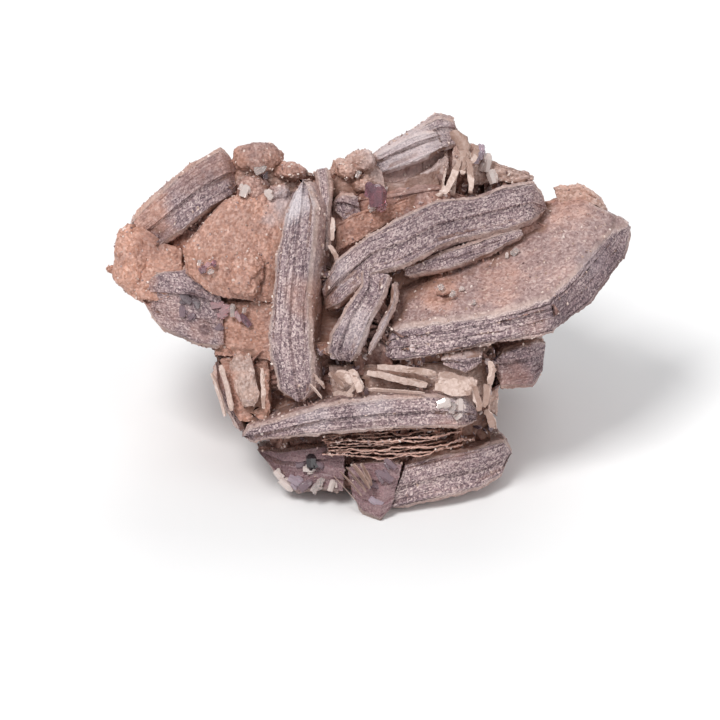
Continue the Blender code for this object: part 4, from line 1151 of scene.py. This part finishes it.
def mica_finish(name, tint=(1.0, 1.0, 1.0, 1.0), peach=0.0, glassy=0.0, face_grains=SPLIT_FACE_GRAINS):
    """Mica books: peppered striated walls, granular split faces, brown stain with painted shade in the hollows,
    painted shade in the layer cracks, and cream rims with a painted highlight.
    """
    finish = Finish(name)
    stack = finish.attribute("stack").outputs["Vector"]
    wall = finish.attribute("wall").outputs["Fac"]
    shade = finish.attribute("shade").outputs["Fac"]
    groove = finish.attribute("groove").outputs["Fac"]
    hollow = finish.attribute("hollow").outputs["Fac"]
    rim = finish.attribute("rim").outputs["Fac"]
    warm = finish.attribute("warm").outputs["Fac"]
    pale = finish.attribute("pale").outputs["Fac"]
    dark = finish.attribute("dark").outputs["Fac"]
    place = finish.node("ShaderNodeTexCoord").outputs["Object"]

    crumbs = finish.noise(place, 2600.0, 3.0).outputs["Fac"]
    patchy = finish.noise(place, 620.0, 4.0, 0.65).outputs["Fac"]
    broad = finish.noise(place, 170.0, 3.0).outputs["Fac"]
    streak = finish.noise(finish.stretched(stack, (0.45, 6.0, 0.45)), 1.0, 3.0).outputs["Fac"]
    fine = finish.noise(finish.stretched(stack, (8.0, 9.0, 8.0)), 1.0, 2.0).outputs["Fac"]
    # near: lighter towards the rims, partly worn cream edges and partly a painted highlight along the rims.
    near = finish.maths("SUBTRACT", 0.62, finish.maths("MULTIPLY", rim, 0.9))
    near = finish.maths("ADD", near, finish.maths("MULTIPLY", crumbs, 0.5))
    near = finish.maths("MULTIPLY", finish.maths("ADD", near, finish.maths("MULTIPLY", patchy, 1.0)), 1.0)
    near = finish.maths("MULTIPLY", finish.maths("SUBTRACT", near, 0.6), 1.3, clamp=True)

    wall_cells = finish.cell(finish.stretched(stack, (6.2, 7.2, 6.2)))
    parts = finish.node("ShaderNodeSeparateColor", links={"Color": wall_cells.outputs["Color"]})
    grey = finish.maths("MULTIPLY", parts.outputs[0], 0.78)
    for value, share in ((fine, 0.5), (streak, 0.36), (shade, 0.18), (near, 0.3), (pale, 0.3), (broad, 0.3)):
        grey = finish.maths("ADD", grey, finish.maths("MULTIPLY", value, share))
    lines = finish.noise(finish.stretched(stack, (0.3, 7.5, 0.3)), 1.0, 2.0).outputs["Fac"]
    lines = finish.maths("MULTIPLY", finish.maths("SUBTRACT", lines, 0.56), 6.0, clamp=True)
    grey = finish.maths("SUBTRACT", grey, finish.maths("MULTIPLY", lines, 0.3))
    grey = finish.maths("SUBTRACT", grey, 0.56, clamp=True)
    wall_colour = finish.ramp(grey, WALL_GRAINS)
    if glassy:
        wall_colour = finish.between(0.72 * glassy, wall_colour, GLASS_PURPLE)

    face_cells = finish.cell(place, 4300.0)
    face_parts = finish.node("ShaderNodeSeparateColor", links={"Color": face_cells.outputs["Color"]})
    light = finish.maths("MULTIPLY", face_parts.outputs[1], 0.55)
    for value, share in ((crumbs, 0.6), (patchy, 0.5)):
        light = finish.maths("ADD", light, finish.maths("MULTIPLY", value, share))
    light = finish.maths("SUBTRACT", light, 0.33, clamp=True)
    peachy = finish.maths("ADD", finish.maths("MULTIPLY", patchy, 1.2), peach - 0.6)
    peachy = finish.maths("ADD", peachy, warm, clamp=True)
    face_colour = finish.between(peachy, finish.ramp(light, face_grains), finish.ramp(light, PEACH_GRAINS))
    edge = finish.maths("ADD", wall, finish.maths("MULTIPLY", crumbs, 0.4))
    edge = finish.maths("SUBTRACT", edge, finish.maths("MULTIPLY", patchy, 0.5))
    edge = finish.maths("SUBTRACT", edge, finish.maths("MULTIPLY", warm, 0.75), clamp=True)
    colour = finish.between(edge, face_colour, wall_colour)
    mottle = finish.ramp(broad, ((0.3, (0.84, 0.81, 0.82)), (0.7, (1.14, 1.10, 1.08))))
    colour = finish.between(1.0, colour, mottle, "MULTIPLY")
    # Cream rims with a painted highlight.
    colour = finish.between(finish.maths("MULTIPLY", near, 0.5), colour, RIM_CREAM_AND_HIGHLIGHT)
    # Pale mineral and painted light.
    colour = finish.between(finish.maths("MULTIPLY", pale, 0.5), colour, ICE_WHITE_AND_PAINTED_LIGHT)
    colour = finish.between(1.0, colour, tint, "MULTIPLY")
    # Darker mica and painted shade.
    dim = finish.between(dark, (1.0, 1.0, 1.0, 1.0), DARK_AND_SHADE_TINT)
    colour = finish.between(1.0, colour, dim, "MULTIPLY")
    # Darkens grain joints, and paints shade into the carved layer cracks.
    colour = finish.between(finish.maths("MULTIPLY", groove, 0.75, clamp=True), colour, GROOVE_JOINT_AND_SHADE_BROWN)
    # Painted shade and brown stain where a point is shut in by the cluster.
    stain_and_shade = finish.maths("ADD", hollow, finish.maths("MULTIPLY", patchy, 0.5))
    stain_and_shade = finish.maths("MULTIPLY", finish.maths("SUBTRACT", stain_and_shade, 0.8), 1.7, clamp=True)
    colour = finish.between(stain_and_shade, colour, HOLLOW_STAIN_AND_SHADE_BROWN)

    rough = finish.maths("ADD", finish.maths("MULTIPLY", parts.outputs[2], 0.4), 0.38 - 0.22 * glassy)
    tilted = finish.glitter(wall_cells.outputs["Color"], 0.45 - 0.3 * glassy)
    height = finish.maths("ADD", finish.maths("MULTIPLY", parts.outputs[0], 0.5), crumbs)
    height = finish.maths("ADD", height, finish.maths("MULTIPLY", face_parts.outputs[0], 0.5))
    height = finish.maths("SUBTRACT", height, finish.maths("MULTIPLY", lines, wall))
    finish.set(
        Base_Color=colour, Roughness=rough, Normal=finish.bump(height, 0.8, 0.00009, tilted),
        Specular_IOR_Level=0.5, IOR=1.56, Transmission_Weight=0.3 * glassy,
    )
    return finish.material


def blade_finish():
    """Cream albite blades with a granular, cloudy colour."""
    finish = Finish("cream_albite")
    place = finish.node("ShaderNodeTexCoord").outputs["Object"]
    hollow = finish.attribute("hollow").outputs["Fac"]
    cloud = finish.noise(place, 700.0, 4.0).outputs["Fac"]
    crumbs = finish.noise(place, 3600.0, 2.0).outputs["Fac"]
    cells = finish.cell(place, 4300.0).outputs["Color"]
    grain = finish.node("ShaderNodeSeparateColor", links={"Color": cells}).outputs[1]
    light = finish.maths("MULTIPLY", grain, 0.35)
    for value, share in ((cloud, 0.7), (crumbs, 0.4)):
        light = finish.maths("ADD", light, finish.maths("MULTIPLY", value, share))
    colour = finish.ramp(finish.maths("SUBTRACT", light, 0.22, clamp=True), CREAM_GRAINS)
    # Painted shade and brown stain where a point is shut in by the cluster.
    stain_and_shade = finish.maths("ADD", hollow, finish.maths("MULTIPLY", cloud, 0.5))
    stain_and_shade = finish.maths("MULTIPLY", finish.maths("SUBTRACT", stain_and_shade, 0.85), 1.6, clamp=True)
    colour = finish.between(stain_and_shade, colour, HOLLOW_STAIN_AND_SHADE_BROWN)
    height = finish.maths("ADD", crumbs, finish.maths("MULTIPLY", grain, 0.5))
    finish.set(
        Base_Color=colour, Roughness=finish.maths("ADD", finish.maths("MULTIPLY", crumbs, 0.3), 0.32),
        Normal=finish.bump(height, 0.7, 0.00009), IOR=1.53,
    )
    return finish.material


def glass_finish(name, colour, clearness, density):
    """A cloudy clear crystal that gets darker with its thickness."""
    finish = Finish(f"{name}_crystal")
    finish.set(Base_Color=(*colour, 1.0), Roughness=0.05, IOR=1.56, Transmission_Weight=clearness)
    volume = finish.node("ShaderNodeVolumeAbsorption", values={"Color": (*colour, 1.0), "Density": density})
    finish.tree.links.new(volume.outputs[0], finish.out.inputs["Volume"])
    return finish.material


def floor_finish():
    finish = Finish("pale_floor")
    finish.set(Base_Color=(0.86, 0.855, 0.85, 1.0), Roughness=0.75)
    return finish.material


def finished(obj, material):
    """Gives a piece its finish, and says where it belongs."""
    obj.data.materials.clear()
    obj.data.materials.append(material)
    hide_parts(NODE)
    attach(obj, "root")
    return obj


SKINS = {
    "layers": "mica", "slab": "mica", "sheets": "sheets", "crust": "cream", "peach": "peach",
    "matrix": "matrix", "blade": "blade", "glass": "glassy",
}
LUMP_SKINS = {"left": "peach", "peach": "peach", "tan": "tan", "small": "tan", "grey": "tan", "back": "tan"}
STRENGTH = {"layers": 0.55, "slab": 1.35, "sheets": 0.8, "glass": 0.7}


def make_book(name, skin, ledges, block, both_sides=False):
    seed = number_of(name)
    if skin in STRENGTH:
        block.carve_layers(seed, ledges, STRENGTH[skin], both_sides)
        block.carve_split_faces(seed)
        block.carve_chips(seed)
    elif skin == "blade":
        block.carve_crust(seed, 0.5)
    else:
        block.carve_crust(seed)
    attributes = {
        "stack": np.stack([block.place, block.height, block.into], axis=1),
        "wall": block.wall, "groove": block.groove, "shade": block.shade,
        "rim": np.where(block.wall > 0.5, block.rim, block.border if skin in STRENGTH else 9.0),
        "seat": block.seats * MM,
    }
    obj = write_mesh(name, block.points, block.quads, attributes)
    cut_at_base(obj)
    return obj


def make_lump(lump):
    """A rounded mass of fine mica with a granular skin."""
    seed = number_of(lump.name)
    ball = bmesh.new()
    bmesh.ops.create_icosphere(ball, subdivisions=5, radius=1.0)
    unit_points = np.array([vert.co[:] for vert in ball.verts])
    faces = np.array([[vert.index for vert in face.verts] for face in ball.faces])
    ball.free()
    wide, tall, deep = lump.half_sizes
    middle = on_sheet(lump.across, lump.down, lump.stand)
    axes = np.stack([SHEET_RIGHT * wide, SHEET_UP * tall, SHEET_OUT * deep])
    seats = points = middle + unit_points @ axes
    inward = -unit(unit_points @ axes)
    skin = 0.9 * soft_noise(points, 1.6, seed) + 0.45 * soft_noise(points, 0.75, seed + 1)
    skin = np.maximum(skin - 0.3, 0) + 0.14 * (1 - grains(points, 0.42, seed))
    skin += 0.07 * soft_noise(points, 0.28, seed + 3)
    points = points + inward * skin[:, None]
    attributes = {
        "stack": points, "wall": np.zeros(len(points)), "shade": np.full(len(points), 0.5),
        "groove": np.clip(0.5 - grains(points, 0.4, seed), 0, 1), "rim": np.full(len(points), 9.0),
        "seat": seats * MM,
    }
    return write_mesh(lump.name, points, faces, attributes)


def make_gem(gem, number, around):
    """A small clear crystal: a few flat faces round an axis, half sunk in what it grew on."""
    random = np.random.default_rng(900 + number)
    stand = around.seat(gem.across, gem.down)
    if stand is None:
        return None
    middle = on_sheet(gem.across, gem.down, stand - 0.45 * gem.radius)
    lean = math.radians(gem.lean)
    axis = math.cos(lean) * SHEET_UP + math.sin(lean) * SHEET_RIGHT
    side = math.cos(lean) * SHEET_RIGHT - math.sin(lean) * SHEET_UP
    mesh = bmesh.new()
    for size, shift in ((1.0, 0.0), (0.6, 0.75), (0.5, 0.95)):
        turn = random.uniform(0, 2 * math.pi)
        spot = middle + shift * gem.radius * (math.cos(turn) * side + math.sin(turn) * axis)
        tip = unit(axis + (random.uniform(-0.5, 0.9) * SHEET_OUT + random.uniform(-0.7, 0.7) * side) * (size < 1))
        wide = unit(np.cross(tip, SHEET_OUT + 0.3 * side))
        thick = np.cross(tip, wide)
        radius = size * gem.radius
        corners = [(math.radians(60 * k) + random.normal(0, 0.12), random.uniform(0.75, 1.0)) for k in range(6)]
        points = []
        for level, width in ((-1.0, 0.85), (0.3, 1.0), (0.75, 0.75), (1.0, 0.35)):
            for angle, reach in corners:
                out = width * reach * radius * (math.cos(angle) * wide + math.sin(angle) * thick)
                points.append(spot + tip * level * radius * gem.stretch + out)
        made = bmesh.ops.convex_hull(mesh, input=[mesh.verts.new(point * MM) for point in points])
        spare = {item for item in made["geom_interior"] + made["geom_unused"]
                 if isinstance(item, bmesh.types.BMVert)}
        bmesh.ops.delete(mesh, geom=list(spare), context="VERTS")
    bmesh.ops.recalc_face_normals(mesh, faces=mesh.faces)
    data = bpy.data.meshes.new(f"{gem.glass}_crystal_{number}")
    mesh.to_mesh(data)
    mesh.free()
    obj = bpy.data.objects.new(data.name, data)
    bpy.context.scene.collection.objects.link(obj)
    return obj


def make_ground(around):
    """The crust that all the books stand in: the whole solid, a little smaller, and rough."""
    mesh = bmesh.new()
    mesh.from_mesh(around.node.data)
    bmesh.ops.remove_doubles(mesh, verts=mesh.verts, dist=0.002 * MM)
    data = bpy.data.meshes.new("ground")
    mesh.to_mesh(data)
    mesh.free()
    rough = bpy.data.objects.new("ground", data)
    bpy.context.scene.collection.objects.link(rough)
    remesh = rough.modifiers.new("grid", "REMESH")
    remesh.mode = "VOXEL"
    remesh.voxel_size = GROUND_GRID * MM
    graph = bpy.context.evaluated_depsgraph_get()
    data = bpy.data.meshes.new_from_object(rough.evaluated_get(graph))
    bpy.data.objects.remove(rough)
    points = np.array([vert.co[:] for vert in data.vertices]) / MM
    normals = np.array([vert.normal[:] for vert in data.vertices])
    depth = GROUND_DEPTH + GROUND_ROUGHNESS * (1.2 * soft_noise(points, 1.3, 5) - 0.2)
    depth += 0.12 * (1 - grains(points, 0.5, 9))
    skin = BVHTree.FromPolygons(points.tolist(), [poly.vertices[:] for poly in data.polygons])
    for number, (point, normal) in enumerate(zip(points, normals)):
        hit = skin.ray_cast(Vector(point - normal * 0.05), Vector(-normal), 4.0)
        if hit[0] is not None:
            depth[number] = min(depth[number], 0.5 * hit[3])
    moved = points - normals * depth[:, None]
    near_base = points[:, 2] < 0.6
    edges = np.array([edge.vertices[:] for edge in data.edges])
    around_each = np.bincount(edges.ravel(), minlength=len(points))[:, None]
    for turn in range(5):
        total = np.zeros_like(moved)
        np.add.at(total, edges[:, 0], moved[edges[:, 1]])
        np.add.at(total, edges[:, 1], moved[edges[:, 0]])
        if turn < 4:
            moved = 0.5 * moved + 0.5 * total / around_each
        for number, place in enumerate(moved):
            if near_base[number]:
                continue
            spot, facing, _, distance = around.tree.find_nearest(Vector(place * MM))
            spot, facing, distance = np.array(spot) / MM, np.array(facing), distance / MM
            inside = (place - spot).dot(facing) < 0
            if inside and distance > GROUND_LEAST:
                continue
            inward = (place - spot) / distance if inside and distance > 0.2 else -facing
            hit = around.tree.ray_cast(Vector((spot + inward * 0.02) * MM), Vector(inward), 5 * GROUND_LEAST * MM)
            room = 9.0 if hit[0] is None else hit[3] / MM
            moved[number] = spot + inward * min(GROUND_LEAST, 0.5 * room)
    middle = points[near_base].mean(axis=0)
    moved[near_base] = middle + (points[near_base] - middle) * 0.86
    moved[near_base, 2] = np.maximum(points[near_base, 2] - 0.17, 0)
    data.vertices.foreach_set("co", (moved * MM).astype(np.float32).ravel())
    data.shade_smooth()
    count = len(points)
    for label, value in (("wall", 0.0), ("shade", 0.5), ("groove", 0.0), ("rim", 9.0)):
        data.attributes.new(label, "FLOAT", "POINT").data.foreach_set("value", [value] * count)
    for label, values in (("stack", points), ("seat", points * MM)):
        layer = data.attributes.new(label, "FLOAT_VECTOR", "POINT")
        layer.data.foreach_set("vector", values.astype(np.float32).ravel())
    obj = bpy.data.objects.new("ground", data)
    bpy.context.scene.collection.objects.link(obj)
    return obj


def place_camera():
    data = bpy.data.cameras.new("camera")
    data.lens = 300.0
    data.sensor_width = 36.0
    data.clip_end = 10.0
    camera = bpy.data.objects.new("camera", data)
    bpy.context.scene.collection.objects.link(camera)
    distance = SHEET_SIZE * data.lens / data.sensor_width
    middle = SHEET_SIZE / 2
    camera.location = Vector(on_sheet(middle, middle, distance)) * MM
    camera.rotation_euler = (math.pi / 2 - SHEET_LEAN, 0.0, 0.0)
    bpy.context.scene.camera = camera


def place_lights():
    target = Vector((0.0, 0.0, 0.015))
    for name, place, size, power in (
        ("key_light", (-0.3, -0.3, 0.72), 0.3, 4.9),
        ("fill_light", (0.6, -0.4, 0.3), 0.5, 1.3),
        ("back_light", (0.1, 0.6, 0.5), 0.5, 2.0),
    ):
        data = bpy.data.lights.new(name, "AREA")
        data.size = size
        data.energy = power
        light = bpy.data.objects.new(name, data)
        light.location = place
        light.rotation_euler = (target - Vector(place)).to_track_quat("-Z", "Y").to_euler()
        bpy.context.scene.collection.objects.link(light)
    world = bpy.data.worlds.new("studio")
    world.use_nodes = True
    background = world.node_tree.nodes["Background"]
    background.inputs["Color"].default_value = (0.95, 0.97, 1.0, 1.0)
    background.inputs["Strength"].default_value = 0.46
    bpy.context.scene.world = world
    bpy.context.scene.view_settings.view_transform = "Standard"


def place_floor():
    mesh = bmesh.new()
    bmesh.ops.create_circle(mesh, cap_ends=True, segments=96, radius=3.0)
    data = bpy.data.meshes.new("floor")
    mesh.to_mesh(data)
    mesh.free()
    floor = bpy.data.objects.new("floor", data)
    bpy.context.scene.collection.objects.link(floor)
    data.materials.append(floor_finish())


def main():
    place_camera()
    place_lights()
    place_floor()
    finishes = {
        "mica": mica_finish("grey_purple_mica"),
        "glassy": mica_finish("purple_clear_mica", glassy=1.0),
        "sheets": mica_finish("brown_mica_sheets", (1.2, 1.0, 0.9, 1.0)),
        "cream": mica_finish("cream_crust", peach=0.15, face_grains=CREAM_GRAINS),
        "peach": mica_finish("peach_crust", peach=0.9),
        "tan": mica_finish("tan_crust", peach=0.4),
        "matrix": mica_finish("brown_matrix", (0.85, 0.76, 0.72, 1.0), peach=0.35),
        "blade": blade_finish(),
    }
    for name, values in GLASSES.items():
        finishes[name] = glass_finish(name, *values)
    pieces = []
    around = Surroundings(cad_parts[NODE])
    pieces.append((make_ground(around), finishes["matrix"]))
    for book in FRONT_BOOKS + BLADES:
        for part in split_sheets(book) if book.skin == "sheets" else (book,):
            obj = make_book(part.name, part.skin, part.ledges, sheet_block(part))
            pieces.append((obj, finishes[SKINS[part.skin]]))
    for blade in THIN_BLADES:
        obj = make_book(f"blade_{blade.name}", "blade", "none", blade_block(blade))
        pieces.append((obj, finishes["blade"]))
    for plate in BACK_PLATES:
        obj = make_book(plate.name, "layers", "waist", plate_block(plate, 1.25), True)
        pieces.append((obj, finishes["mica"]))
    for lump in LUMPS:
        pieces.append((make_lump(lump), finishes[LUMP_SKINS.get(lump.name.split("_")[0], "cream")]))
    for number, gem in enumerate(GEMS):
        obj = make_gem(gem, number, around)
        if obj:
            finished(obj, finishes[gem.glass])
    for obj, material in pieces:
        hollow = around.hollow(obj)
        add_float(obj, "hollow", hollow)
        thin_hidden(obj, hollow)
        add_patches(obj)
        if "seat" in obj.data.attributes:
            obj.data.attributes.remove(obj.data.attributes["seat"])
        finished(obj, material)
    grounds = [obj for obj, material in pieces if not obj.name.startswith("blade_")]
    for name, grains_of, per_mm2, radius, seed in (
        ("cream_crumbs", CREAM_GRAINS, 1.4, 0.17, 4), ("brown_crumbs", SPLIT_FACE_GRAINS, 1.4, 0.15, 5),
    ):
        finish = crumb_finish(name, grains_of)
        finished(strew_crumbs(name, grounds, finish, per_mm2, radius, seed, 0.35), finish)
    finish = crumb_finish("mica_flakes", WALL_GRAINS)
    finished(strew_crumbs("mica_flakes", grounds[:1], finish, 2.6, 0.36, 6, 0.0, True), finish)
    counts = {obj.name: sum(len(poly.vertices) - 2 for poly in obj.data.polygons)
              for obj in bpy.data.objects if obj.type == "MESH" and obj.name not in ("floor", NODE)}
    print("TRIANGLES", sum(counts.values()), sorted(counts.items(), key=lambda item: -item[1])[:4], len(counts))


main()
